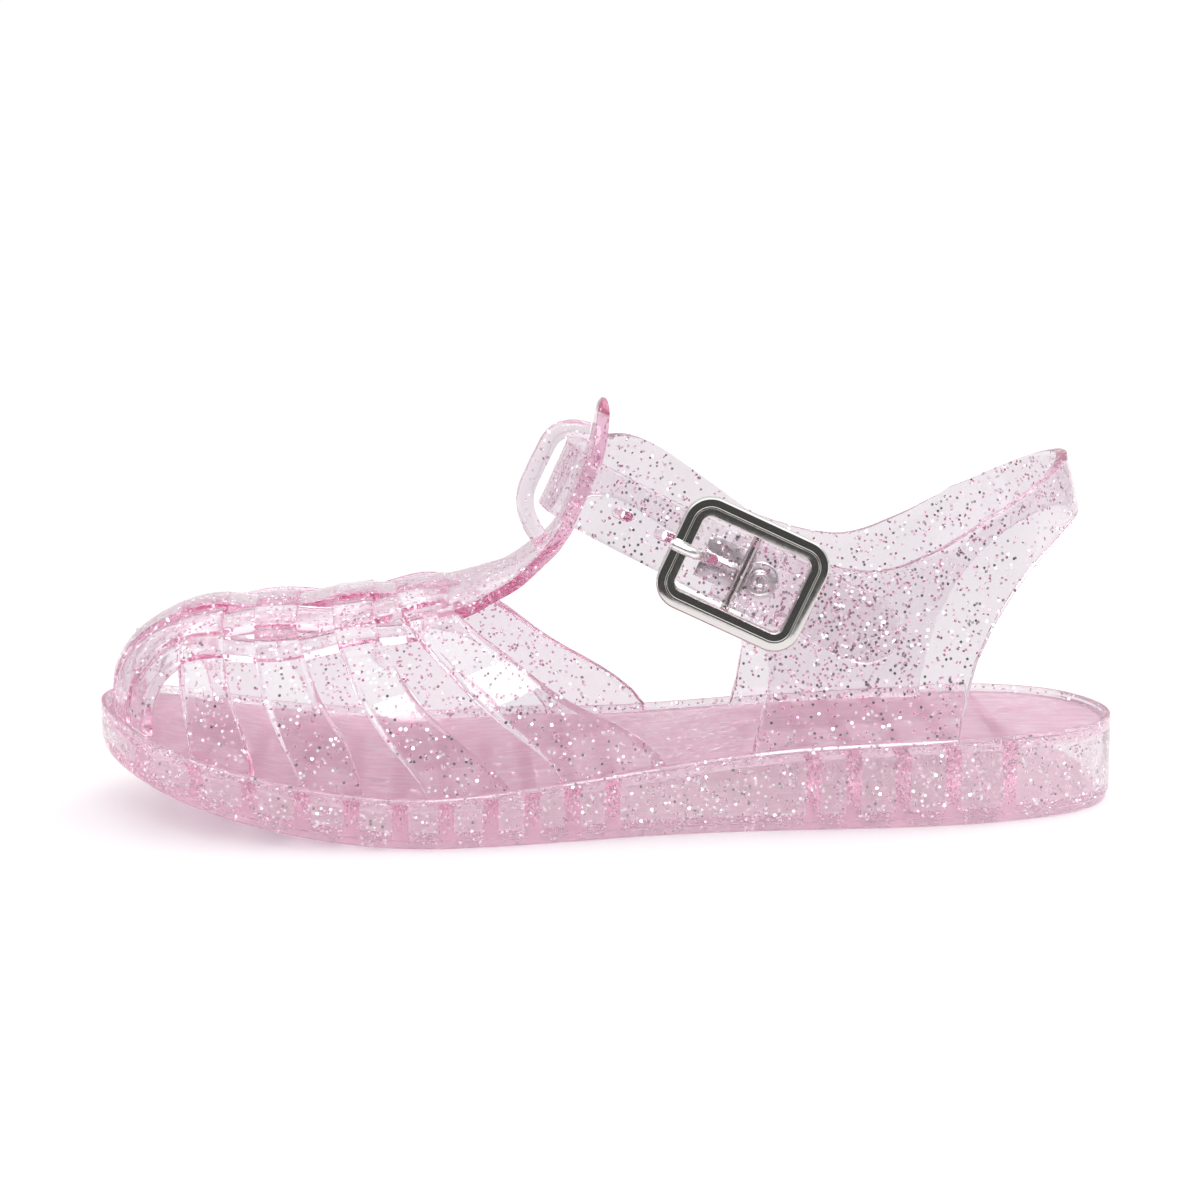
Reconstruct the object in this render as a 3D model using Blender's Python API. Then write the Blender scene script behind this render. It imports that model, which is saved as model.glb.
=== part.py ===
"""Child's jelly sandal, left shoe: one moulded clear plastic shoe and its metal buckle.

X runs along the shoe with the toe at -X, the lateral side faces -Y, and +Z is up.
The origin is on the floor, under the middle of the sole.
"""
import math

import bpy
import numpy as np
from mathutils import Matrix
from mathutils import Vector

for old in list(bpy.data.objects):
    bpy.data.objects.remove(old, do_unlink=True)

# Driving sizes in metres
LENGTH = 0.175
BALL_WIDTH = 0.070
HEEL_HEIGHT = 0.0149
TOE_SPRING = 0.0115
VAMP_HEIGHT = 0.036
COLLAR_LOW = 0.043
COLLAR_BACK = 0.0604
COLLAR_HALF_WIDTH = 0.0222
GAP = 0.0003
FOOT_GAP = 0.0006

# Sole
SOLE_WALL = 0.0020
LIP_WIDTH = 0.0012
LIP_HEIGHT = 0.0012
LIP_ROUND = 0.0004
FOOTBED = 0.0015
TREAD = 0.0013
TREAD_INSET = 0.0004
RIB_WIDTH = 0.0026
RIB_BITE = 0.0005
SPRING_START = 0.336
OUTLINE_STEPS = 3

# Moulded straps
STRAP_WALL = 0.0020
STRIP_WALL = 0.0019
TBAR_WALL = 0.0021
WEAVE_LIFT = 0.0006
TBAR_SINK = 0.00025
DOME_POWER = 2.4
DOME_CENTRE = 0.146

# Ankle strap, its loop and the heel band
NOSE_ALONG = 0.4434
NOSE_HEIGHT = 0.0574
ANKLE_SLOPE = math.radians(25)
ANKLE_WIDTH = 0.0116
ANKLE_WALL = 0.0019
INNER_RISE = 0.0041
LOOP_BAR = 0.0031
LOOP_DEPTH = 0.0035
LOOP_CLEARANCE = 0.00125
HOLE_DIAMETER = 0.0021
HOLE_PITCH = 0.0074
HOLE_COUNT = 3
TAIL_LENGTH = 0.0285
HEEL_POWER = 2.3

STUB_LENGTH = 0.0032
WALL_EASE = 0.8
WALL_CELLS = 6

# Buckle
BUCKLE_SEAT = 0.0333
FRAME_LENGTH = 0.0256
FRAME_WIDTH = 0.0196
FRAME_BAR = 0.0032
FRAME_THICKNESS = 0.0025
FRAME_CORNER = 0.0046
FRAME_LIFT = 0.0027
BAR_DIAMETER = 0.0015
PRONG_DIAMETER = 0.0018
PRONG_PLATE_WIDTH = 0.0076
PRONG_PLATE_THICKNESS = 0.00035
RIVET_DIAMETER = 0.0062
RIVET_THICKNESS = 0.00035
RIVET_OFFSET = 0.0033
RIVET_LIFT = 0.00003
EYELET_DIAMETER = 0.0024
EYELET_HEIGHT = 0.0009

# Plan of the sole: along from the toe as a share of the length, sides as shares of the ball width
OUTLINE = (
    # along, lateral, medial
    (0.031, 0.230, 0.264),
    (0.077, 0.358, 0.372),
    (0.146, 0.441, 0.441),
    (0.243, 0.494, 0.500),
    (0.374, 0.490, 0.482),
    (0.529, 0.407, 0.345),
    (0.671, 0.373, 0.280),
    (0.814, 0.352, 0.312),
    (0.911, 0.287, 0.305),
    (0.969, 0.193, 0.222),
)
TOE_TIP_SHIFT = -0.018
HEEL_TIP_SHIFT = -0.014

# Height of the side wall as a share of the heel height
SIDE_HEIGHT = (
    # along, height
    (0.000, 0.520),
    (0.157, 0.577),
    (0.329, 0.577),
    (0.500, 0.745),
    (0.671, 0.950),
    (0.843, 1.000),
    (1.000, 1.000),
)

# Ribs in the hollow sole: place along the length
RIBS = (
    0.0531, 0.1046, 0.1537, 0.2029, 0.2480, 0.2926, 0.3349, 0.3760, 0.4143, 0.4526, 0.4909,
    0.6851, 0.7240, 0.7714, 0.8206, 0.8766,
)

# Ridge line of the vamp as a share of the vamp height
RIDGE = (
    # along, height
    (0.146, 1.000),
    (0.191, 1.008),
    (0.226, 1.017),
    (0.254, 1.031),
    (0.291, 1.053),
    (0.335, 1.090),
    (0.372, 1.139),
    (0.407, 1.200),
    (0.454, 1.320),
    (0.500, 1.470),
    (0.557, 1.670),
)

# Cross straps: place along the length of the front and the rear edge, by angle up the section
STRAP_ANGLES = (0, 15, 30, 60, 90)
CROSS_STRAPS = (
    # front edge, rear edge
    ((0.0943, 0.0886, 0.0829, 0.0817, 0.0825), (0.1537, 0.1417, 0.1309, 0.1251, 0.1251)),
    ((0.1983, 0.1760, 0.1634, 0.1554, 0.1543), (0.2577, 0.2394, 0.2177, 0.1966, 0.1943)),
    ((0.3171, 0.2771, 0.2531, 0.2320, 0.2286), (0.3949, 0.3400, 0.3034, 0.2714, 0.2669)),
    ((0.4440, 0.3886, 0.3497, 0.3000, 0.2886), (0.5434, 0.4577, 0.4103, 0.3469, 0.3371)),
)

# Lengthwise strips: edges as shares of the ball width, measured from the middle line
STRIPS = (
    # along, centre edge, middle inner, middle outer, side inner, side outer
    (0.009, 0.077, 0.091, 0.171, 0.186, 0.229),
    (0.043, 0.080, 0.097, 0.183, 0.197, 0.249),
    (0.071, 0.083, 0.103, 0.183, 0.209, 0.264),
    (0.106, 0.086, 0.111, 0.200, 0.233, 0.286),
    (0.140, 0.090, 0.120, 0.220, 0.254, 0.309),
    (0.174, 0.093, 0.126, 0.233, 0.269, 0.323),
    (0.214, 0.093, 0.126, 0.237, 0.271, 0.326),
    (0.260, 0.089, 0.120, 0.233, 0.263, 0.317),
    (0.294, 0.084, 0.114, 0.220, 0.256, 0.309),
    (0.334, 0.080, 0.106, 0.203, 0.243, 0.294),
)
CENTRE_END = 0.350
SIDE_END = 0.316
WEAVE_START = 0.045
STRIP_SINK = -1.0

# Instep bar on the ridge: place along the length, half width as a share of the ball width, and
# how fast its section falls away sideways, as ball widths times the square of the half width
INSTEP_BAR = (
    # along, half width, crown
    (0.326, 0.262, 0.56),
    (0.351, 0.249, 0.63),
    (0.374, 0.209, 0.77),
    (0.397, 0.171, 0.91),
)
TONGUE_CROWN = 0.91

# Tongue, in the ankle strap's own directions: behind its nose and up it, in strap half widths
TONGUE = (
    # behind, up, half width as a share of the ball width
    (0.27, -2.26, 0.144),
    (0.50, -1.84, 0.129),
    (0.63, -1.40, 0.117),
    (0.69, -0.95, 0.111),
    (0.71, -0.38, 0.107),
    (0.68, 0.34, 0.106),
    (0.60, 1.12, 0.103),
    (0.48, 1.72, 0.086),
    (0.37, 2.22, 0.056),
    (0.30, 2.55, 0.018),
)

# Loop in the same directions: before the nose in loop reaches, up in strap half widths
LOOP = (
    # before, up
    (-0.95, -1.97),
    (-0.09, -1.67),
    (0.62, -1.28),
    (0.99, -0.83),
    (1.04, -0.26),
    (1.01, 0.34),
    (0.96, 0.78),
    (0.68, 1.12),
    (0.00, 1.38),
    (-1.00, 1.52),
)

# Plan of the ankle strap: behind the nose as a share of the buckle's place, side as a share of
# the collar's half width
ANKLE_PLAN = (
    # behind, side
    (0.000, 0.000),
    (0.016, 0.225),
    (0.062, 0.430),
    (0.165, 0.640),
    (0.320, 0.790),
    (0.560, 0.905),
    (0.840, 0.970),
    (1.140, 1.000),
)

# Rise of the ankle strap's inner side over its outer side
RISE_PLAN = (
    # behind as a share of the buckle's seat, share of the rise
    (0.00, 0.00),
    (0.08, 0.06),
    (0.18, 0.45),
    (0.32, 0.94),
    (0.50, 1.00),
    (0.80, 0.58),
    (1.14, 0.00),
)

# Outer ply of the ankle strap: place from the buckle's middle as a share of the frame's length,
# and how far its outer face stands off the inner ply, in strap walls
OUTER_PLY = (
    # place, stand off
    (-1.300, 0.00),
    (-1.000, 0.12),
    (-0.700, 0.60),
    (-0.430, 1.24),
    (-0.240, 2.10),
    (0.000, 2.50),
    (0.240, 2.10),
    (0.430, 1.24),
    (0.700, 1.20),
    (1.300, 1.20),
)

# Quarter: each column's foot and top; feet rise from the footbed in shares of the low collar
QUARTER = (
    # foot along, foot rise, top along, top height as a share of the low collar
    (0.6406, 0.60, 0.6623, 1.074),
    (0.6434, 0.45, 0.6703, 1.063),
    (0.6411, 0.32, 0.6783, 1.051),
    (0.6360, 0.18, 0.6863, 1.042),
    (0.6314, 0.07, 0.6943, 1.030),
    (0.6286, 0.00, 0.7011, 1.023),
    (0.6543, 0.00, 0.7126, 1.012),
    (0.6886, 0.00, 0.7286, 1.002),
    (0.7286, 0.00, 0.7457, 0.998),
    (0.7686, 0.00, 0.7686, 1.016),
    (0.8029, 0.00, 0.7943, 1.058),
    (0.8257, 0.00, 0.8143, 1.095),
    (0.8280, 0.12, 0.8246, 1.119),
    (0.8349, 0.29, 0.8349, 1.142),
    (0.8440, 0.47, 0.8463, 1.167),
)

# Heel band: angle round the heel, lower and upper edge as shares of the back of the collar
HEEL_BAND = (
    # degrees, lower, upper
    (27, 0.553, 0.851),
    (34, 0.640, 0.878),
    (42, 0.709, 0.910),
    (51, 0.758, 0.940),
    (61, 0.798, 0.967),
    (71, 0.824, 0.986),
    (81, 0.839, 0.997),
    (90, 0.844, 1.000),
)
HEEL_START = 0.7457

# Centre bar of the buckle: across the strap as a share of the frame's width, and height off the
# strap in bar diameters
CENTRE_BAR = (
    # across, height
    (-0.420, 2.50),
    (-0.395, 1.75),
    (-0.350, 1.25),
    (-0.280, 1.17),
    (0.000, 1.17),
    (0.280, 1.17),
    (0.350, 1.25),
    (0.395, 1.75),
    (0.420, 2.50),
)

# Prong from the centre bar through a hole onto the frame, and the clip that holds it to the bar,
# both in prong diameters: along the strap from the bar, and height off the strap
PRONG = (
    # along, height
    (-0.78, 0.55),
    (-3.00, 0.55),
    (-3.75, 0.95),
    (-4.20, 2.00),
    (-4.60, 3.05),
    (-5.20, 3.55),
    (-6.90, 3.55),
)
CLIP = (
    # along, height
    (-3.80, 0.20),
    (-0.70, 0.20),
    (0.00, 0.35),
    (0.31, 0.43),
    (0.54, 0.66),
    (0.62, 0.97),
    (0.48, 1.26),
)

# Back of the heel: height as a share of the collar's back, and place along the length
HEEL_BACK = (
    # height, along
    (0.24, 0.9880),
    (0.84, 0.9629),
    (1.00, 0.9491),
)


def place(share):
    """X of a share of the length, measured from the toe."""
    return (share - 0.5) * LENGTH


def share_of(x):
    return x / LENGTH + 0.5


def read(table, at, column):
    """Smooth value of a column of a table at a value of its first column."""
    rows = len(table)
    at = min(max(at, table[0][0]), table[-1][0])
    k = 0
    while k < rows - 2 and at > table[k + 1][0]:
        k += 1

    def slope(i):
        low = max(i - 1, 0)
        high = min(i + 1, rows - 1)
        return (table[high][column] - table[low][column]) / (table[high][0] - table[low][0])

    span = table[k + 1][0] - table[k][0]
    t = (at - table[k][0]) / span
    a = table[k][column]
    b = table[k + 1][column]
    rise = (2 * t**3 - 3 * t**2 + 1) * a + (3 * t**2 - 2 * t**3) * b
    return rise + span * ((t**3 - 2 * t**2 + t) * slope(k) + (t**3 - t**2) * slope(k + 1))


def smooth_path(points, steps):
    """Catmull-Rom curve through points, with an even number of steps between two of them."""
    pts = [Vector(p) for p in points]
    ends = [2 * pts[0] - pts[1]] + pts + [2 * pts[-1] - pts[-2]]
    path = []
    for k in range(1, len(ends) - 2):
        a, b, c, d = ends[k - 1:k + 3]
        for i in range(steps):
            t = i / steps
            path.append(0.5 * (2 * b + (c - a) * t + (2 * a - 5 * b + 4 * c - d) * t**2
                               + (3 * b - a - 3 * c + d) * t**3))
    path.append(pts[-1])
    return path


def closed_spline(points, steps):
    """Periodic cubic spline through points, the same number of steps between each two."""
    pts = np.array(points)
    count = len(pts)
    gaps = np.linalg.norm(np.roll(pts, -1, axis=0) - pts, axis=1) ** 0.7
    matrix = np.zeros((count, count))
    right = np.zeros((count, 2))
    for k in range(count):
        before = gaps[k - 1]
        after = gaps[k]
        matrix[k, k - 1] += before
        matrix[k, k] += 2 * (before + after)
        matrix[k, (k + 1) % count] += after
        right[k] = 6 * ((pts[(k + 1) % count] - pts[k]) / after - (pts[k] - pts[k - 1]) / before)
    bend = np.linalg.solve(matrix, right)
    curve = []
    for k in range(count):
        span = gaps[k]
        following = (k + 1) % count
        for i in range(steps):
            u = i / steps * span
            v = span - u
            curve.append((bend[k] * v**3 + bend[following] * u**3) / (6 * span)
                         + (pts[k] / span - bend[k] * span / 6) * v
                         + (pts[following] / span - bend[following] * span / 6) * u)
    return np.array(curve)


def plan_curve(steps):
    """Outline of the sole in plan, from the heel tip along the lateral side and back."""
    heel = [(place(1.0), HEEL_TIP_SHIFT * BALL_WIDTH)]
    toe = [(place(0.0), TOE_TIP_SHIFT * BALL_WIDTH)]
    lateral = [(place(row[0]), -row[1] * BALL_WIDTH) for row in reversed(OUTLINE)]
    medial = [(place(row[0]), row[2] * BALL_WIDTH) for row in OUTLINE]
    curve = closed_spline(heel + lateral + toe + medial, steps)
    middle = (curve.max(axis=0) + curve.min(axis=0)) / 2
    return curve - middle


def inset_curve(curve, depth):
    """The same closed curve, moved inwards."""
    along = np.roll(curve, -1, axis=0) - np.roll(curve, 1, axis=0)
    along /= np.linalg.norm(along, axis=1)[:, None]
    inwards = np.column_stack([along[:, 1], -along[:, 0]])
    return curve + inwards * depth


def bottom_z(x):
    """Underside of the sole: flat from the heel to the ball, then the toe spring."""
    past = (SPRING_START - share_of(x)) / SPRING_START
    return TOE_SPRING * max(past, 0.0) ** 2


def rim_z(x):
    return bottom_z(x) + HEEL_HEIGHT * read(SIDE_HEIGHT, share_of(x), 1)


def footbed_z(x):
    return rim_z(x) - LIP_HEIGHT


# Foot of the upper: just inside the lip
FOOT_INSET = LIP_WIDTH + FOOT_GAP
fine = inset_curve(plan_curve(24), FOOT_INSET)
toe_index = int(np.argmin(fine[:, 0]))
heel_index = int(np.argmax(fine[:, 0]))
order = np.roll(np.arange(len(fine)), -heel_index)
turned = fine[order]
toe_turn = int(np.argmin(turned[:, 0]))
lateral_side = turned[:toe_turn + 1][::-1]
medial_side = turned[toe_turn:]


def foot_width(x, side):
    """Half width of the foot line of the upper, on the lateral (-1) or medial (1) side."""
    line = lateral_side if side < 0 else medial_side
    return abs(float(np.interp(x, line[:, 0], line[:, 1])))


DOME_X = place(DOME_CENTRE)
toe_part = turned[turned[:, 0] <= DOME_X + 0.002]
toe_angle = np.arctan2(toe_part[:, 1], DOME_X - toe_part[:, 0])
toe_reach = np.hypot(toe_part[:, 1], DOME_X - toe_part[:, 0])
toe_sorted = np.argsort(toe_angle)


def dome_share(x, y):
    """Distance from the ridge as a share of the way to the foot line."""
    if x >= DOME_X:
        return min(abs(y) / foot_width(x, y), 1.0)
    angle = math.atan2(y, DOME_X - x)
    reach = float(np.interp(angle, toe_angle[toe_sorted], toe_reach[toe_sorted]))
    return min(math.hypot(y, DOME_X - x) / reach, 1.0)


def dome(x, y):
    """Point of the last's surface over a place in plan."""
    share = dome_share(x, y)
    foot_x = x if x >= DOME_X else DOME_X + (x - DOME_X) / max(share, 0.01)
    low = rim_z(max(foot_x, place(0.0)))
    high = VAMP_HEIGHT * read(RIDGE, share_of(x), 1)
    rise = (1 - share**DOME_POWER) ** (1 / DOME_POWER)
    return Vector((x, y, low + (high - low) * rise))


def ease(table, at):
    """Value between rows of (place, value), eased so that it is level at each row."""
    if at <= table[0][0]:
        return table[0][1]
    for (a, low), (b, high) in zip(table, table[1:]):
        if at <= b:
            t = (at - a) / (b - a)
            return low + (high - low) * t * t * (3 - 2 * t)
    return table[-1][1]


def grid_normals(grid):
    """Outward directions of a grid whose columns run to the right as its rows run away."""
    rows = len(grid)
    cols = len(grid[0])
    normals = []
    for i in range(rows):
        line = []
        for j in range(cols):
            down = grid[min(i + 1, rows - 1)][j] - grid[max(i - 1, 0)][j]
            across = grid[i][min(j + 1, cols - 1)] - grid[i][max(j - 1, 0)]
            line.append(across.cross(down).normalized())
        normals.append(line)
    return normals


def moved_grid(grid, normals, depth):
    """Grid moved along its normals; depth is a number or a function of row and column."""
    amount = depth if callable(depth) else (lambda i, j: depth)
    return [[p + n * amount(i, j) for j, (p, n) in enumerate(zip(line, line_normals))]
            for i, (line, line_normals) in enumerate(zip(grid, normals))]


def material(name, colour, roughness, metallic, transmission=0.0):
    mat = bpy.data.materials.new(name)
    mat.use_nodes = True
    shader = mat.node_tree.nodes["Principled BSDF"]
    shader.inputs["Base Color"].default_value = (*colour, 1.0)
    shader.inputs["Roughness"].default_value = roughness
    shader.inputs["Metallic"].default_value = metallic
    shader.inputs["Transmission Weight"].default_value = transmission
    mat.diffuse_color = (*colour, 1.0)
    return mat


def add_object(name, verts, faces, mat, smooth_angle=35):
    mesh = bpy.data.meshes.new(name)
    mesh.from_pydata([tuple(v) for v in verts], [], faces)
    mesh.validate()
    mesh.update()
    obj = bpy.data.objects.new(name, mesh)
    bpy.context.scene.collection.objects.link(obj)
    mesh.materials.append(mat)
    mesh.shade_smooth()
    mesh.set_sharp_from_angle(angle=math.radians(smooth_angle))
    return obj


def sheet_solid(name, outer, inner, mat):
    """Closed solid between two grids of the same size, the outer one facing out."""
    rows = len(outer)
    cols = len(outer[0])
    verts = [p for line in outer for p in line] + [p for line in inner for p in line]
    half = rows * cols

    def at(i, j, under):
        return (half if under else 0) + i * cols + j

    faces = []
    for i in range(rows - 1):
        for j in range(cols - 1):
            faces.append((at(i, j, 0), at(i, j + 1, 0), at(i + 1, j + 1, 0), at(i + 1, j, 0)))
            faces.append((at(i, j, 1), at(i + 1, j, 1), at(i + 1, j + 1, 1), at(i, j + 1, 1)))
    for i in range(rows - 1):
        last = cols - 1
        faces.append((at(i, 0, 0), at(i + 1, 0, 0), at(i + 1, 0, 1), at(i, 0, 1)))
        faces.append((at(i, last, 0), at(i, last, 1), at(i + 1, last, 1), at(i + 1, last, 0)))
    for j in range(cols - 1):
        last = rows - 1
        faces.append((at(0, j, 0), at(0, j, 1), at(0, j + 1, 1), at(0, j + 1, 0)))
        faces.append((at(last, j, 0), at(last, j + 1, 0), at(last, j + 1, 1), at(last, j, 1)))
    return add_object(name, verts, faces, mat)


def ring_solid(name, rings, mat, ladder=False, loop=False):
    """Closed solid through rings of the same count: a loop, or capped at both ends."""
    count = len(rings[0])
    verts = [p for ring in rings for p in ring]
    faces = []
    for k in range(len(rings) if loop else len(rings) - 1):
        a = k * count
        b = (k + 1) % len(rings) * count
        for i in range(count):
            j = (i + 1) % count
            faces.append((a + i, a + j, b + j, b + i))
    last = (len(rings) - 1) * count
    if ladder:
        for i in range(count // 2):
            corners = (i, i + 1, (count - i - 1) % count, (count - i) % count)
            faces.append(tuple(dict.fromkeys(reversed(corners))))
            faces.append(tuple(dict.fromkeys(last + c for c in corners)))
    elif not loop:
        faces.append(tuple(reversed(range(count))))
        faces.append(tuple(last + i for i in range(count)))
    return add_object(name, verts, faces, mat)


def combine(target, tool, operation):
    modifier = target.modifiers.new(tool.name, "BOOLEAN")
    modifier.operation = operation
    modifier.object = tool
    tool.hide_render = True
    tool.display_type = "WIRE"


plastic = material("clear_pink_plastic", (0.93, 0.72, 0.82), 0.12, 0.0, 0.6)
metal = material("polished_steel", (0.62, 0.61, 0.60), 0.18, 1.0)


def sweep(path, side, wide, thick, loop=False):
    """Eight-sided rings along a path: wide across it along a direction, thick the other way."""
    count = len(path)
    grow = 1 / math.cos(math.radians(22.5))
    rings = []
    for k, p in enumerate(path):
        if loop:
            ahead = path[(k + 1) % count] - path[k - 1]
        else:
            ahead = path[min(k + 1, count - 1)] - path[max(k - 1, 0)]
        out = side.cross(ahead).normalized()
        ring = []
        for i in range(8):
            turn = math.radians(22.5 + 45 * i)
            ring.append(p + out * (math.cos(turn) * grow * thick / 2)
                        + side * (math.sin(turn) * grow * wide / 2))
        rings.append(ring)
    return rings


def plan_ring(curve, height):
    """Ring over a plan curve, at a height that is a function of X."""
    return [Vector((p[0], p[1], height(p[0]))) for p in curve]


def make_sole():
    """Hollow sole: side wall with its lip, footbed, and ribs under it, open underneath."""
    outline = plan_curve(OUTLINE_STEPS)
    floor = lambda x: bottom_z(x) + TREAD + GAP
    under = lambda x: footbed_z(x) - FOOTBED
    rings = [
        plan_ring(inset_curve(outline, SOLE_WALL), under),
        plan_ring(inset_curve(outline, SOLE_WALL), floor),
        plan_ring(outline, floor),
        plan_ring(outline, lambda x: rim_z(x) - LIP_ROUND),
        plan_ring(inset_curve(outline, LIP_ROUND), rim_z),
        plan_ring(inset_curve(outline, LIP_WIDTH), rim_z),
        plan_ring(inset_curve(outline, LIP_WIDTH), footbed_z),
    ]
    sole = ring_solid("sole", [list(reversed(ring)) for ring in rings], plastic, ladder=True)
    verts = []
    faces = []
    for share in RIBS:
        x = place(share)
        base = len(verts)
        for sx in (-0.5, 0.5):
            rib_x = x + sx * RIB_WIDTH
            for side in (-1, 1):
                reach = foot_width(rib_x, side) + FOOT_INSET - SOLE_WALL + RIB_BITE
                for z in (floor(rib_x) + TREAD, under(rib_x) + RIB_BITE):
                    verts.append(Vector((rib_x, side * reach, z)))
        box = ((0, 1, 3, 2), (4, 6, 7, 5), (0, 4, 5, 1), (2, 3, 7, 6), (0, 2, 6, 4), (1, 5, 7, 3))
        faces += [tuple(base + v for v in face) for face in box]
    ribs = add_object("sole_ribs", verts, faces, plastic)
    combine(sole, ribs, "UNION")


def make_tread():
    """Thin tread plate that closes the hollow sole underneath."""
    outline = inset_curve(plan_curve(OUTLINE_STEPS), TREAD_INSET)
    top = lambda x: bottom_z(x) + TREAD
    rings = [
        plan_ring(inset_curve(outline, TREAD_INSET), bottom_z),
        plan_ring(outline, lambda x: bottom_z(x) + TREAD_INSET),
        plan_ring(outline, top),
    ]
    ring_solid("tread", [list(reversed(ring)) for ring in rings], plastic, ladder=True)


SECTION_ANGLES = (0, 5, 10, 16, 23, 31, 40, 50, 60, 70, 80)
STRAP_CELLS = 3


def strap_edge(row, angle):
    table = tuple(zip(STRAP_ANGLES, row))
    return place(read(table, angle, 1))


def strap_centre(index):
    front, rear = CROSS_STRAPS[index]
    return (front[-1] + rear[-1]) / 2


def strip_middle(first, second):
    """Middle of a lengthwise strip at the widest part, as a share of the ball width."""
    row = STRIPS[5]
    return (row[first] + row[second]) / 2


def cross_strap(index):
    """One strap over the foot, from the lateral to the medial foot line."""
    front, rear = CROSS_STRAPS[index]
    over = 1 if index % 2 == 0 else -1
    weave = (
        (0.0, -over),
        (strip_middle(2, 3) * BALL_WIDTH, over),
        (strip_middle(4, 5) * BALL_WIDTH, -over),
        (STRIPS[5][5] * BALL_WIDTH + 2 * STRAP_WALL, 0),
    )
    angles = [(a, -1) for a in SECTION_ANGLES] + [(90, 1)]
    angles += [(a, 1) for a in reversed(SECTION_ANGLES)]
    grid = []
    for angle, side in angles:
        spread = math.cos(math.radians(angle)) ** (2 / DOME_POWER)
        x_front = strap_edge(front, angle)
        x_rear = strap_edge(rear, angle)
        line = []
        for j in range(STRAP_CELLS + 1):
            x = x_front + (x_rear - x_front) * j / STRAP_CELLS
            line.append(dome(x, side * foot_width(x, side) * spread))
        grid.append(line)
    drop = LIP_HEIGHT - GAP
    grid.insert(0, [p - Vector((0, 0, drop)) for p in grid[0]])
    grid.append([p - Vector((0, 0, drop)) for p in grid[-1]])
    normals = grid_normals(grid)
    for edge in (0, 1):
        normals[edge] = [Vector((n.x, n.y, 0)).normalized() for n in normals[1]]
        normals[-1 - edge] = [Vector((n.x, n.y, 0)).normalized() for n in normals[-2]]
    lifted = moved_grid(grid, normals, lambda i, j: WEAVE_LIFT * ease(weave, abs(grid[i][j].y)))
    inner = moved_grid(lifted, normals, -STRAP_WALL)
    return sheet_solid("strap_%d" % (index + 1), lifted, inner, plastic)


def edge_y(column, x):
    if column == 0:
        return 0.0
    return BALL_WIDTH * read(STRIPS, share_of(x), abs(column)) * (1 if column > 0 else -1)


def root_x(column):
    """Place at the toe where an edge of a strip meets the foot line."""
    side = -1 if column < 0 else 1
    low = place(0.0) + FOOT_INSET
    high = DOME_X
    for _ in range(40):
        middle = (low + high) / 2
        if abs(edge_y(column, middle)) < dome_inside(middle, side):
            high = middle
        else:
            low = middle
    return high


def dome_inside(x, side):
    if x <= max(lateral_side[0, 0], medial_side[0, 0]):
        return 0.0
    return foot_width(x, side)


def strip(name, first, second, cells, end, over):
    """One lengthwise strip from the toe's foot line back, its first edge on the medial side."""
    weave = [(WEAVE_START, 0.0)]
    for index in range(len(CROSS_STRAPS)):
        weave.append((strap_centre(index), over * (1 if index % 2 == 0 else -1)))
    weave.append((CENTRE_END, STRIP_SINK))
    roots = (root_x(first), root_x(second))
    toe_turns = (0, 6, 12, 19, 27, 36, 46, 57, 68, 79)
    backs = 9
    grid = []
    for k in range(len(toe_turns) + backs + 1):
        line = []
        for j in range(cells + 1):
            t = j / cells
            root = roots[0] + (roots[1] - roots[0]) * t
            if k < len(toe_turns):
                turn = 1 - math.cos(math.radians(toe_turns[k])) ** (2 / DOME_POWER)
                x = root + (DOME_X - root) * turn
            else:
                x = DOME_X + (place(end) - DOME_X) * (k - len(toe_turns)) / backs
            y = edge_y(first, x) + (edge_y(second, x) - edge_y(first, x)) * t
            if k == 0:
                side = -1 if y < 0 else 1
                y = side * min(abs(y), dome_inside(x, side)) if abs(y) > 0.003 else y
            line.append(dome(x, y))
        grid.append(line)
    drop = LIP_HEIGHT - GAP
    grid.insert(0, [Vector((p.x, p.y, rim_z(p.x) - drop)) for p in grid[0]])
    grid[1] = [Vector((p.x, p.y, rim_z(p.x))) for p in grid[1]]
    normals = grid_normals(grid)
    for row in (0, 1):
        normals[row] = [Vector((n.x, n.y, 0)).normalized() for n in normals[1]]
    lifted = moved_grid(grid, normals,
                        lambda i, j: WEAVE_LIFT * ease(weave, share_of(grid[i][j].x)))
    inner = moved_grid(lifted, normals, -STRIP_WALL)
    return sheet_solid(name, lifted, inner, plastic)


# Directions of the ankle strap: back along it, up across it, and its nose
BACK = Vector((math.cos(ANKLE_SLOPE), 0, -math.sin(ANKLE_SLOPE)))
UP = Vector((math.sin(ANKLE_SLOPE), 0, math.cos(ANKLE_SLOPE)))
NOSE = Vector((place(NOSE_ALONG), 0, NOSE_HEIGHT))
HALF = ANKLE_WIDTH / 2
TBAR_CELLS = 6


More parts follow.
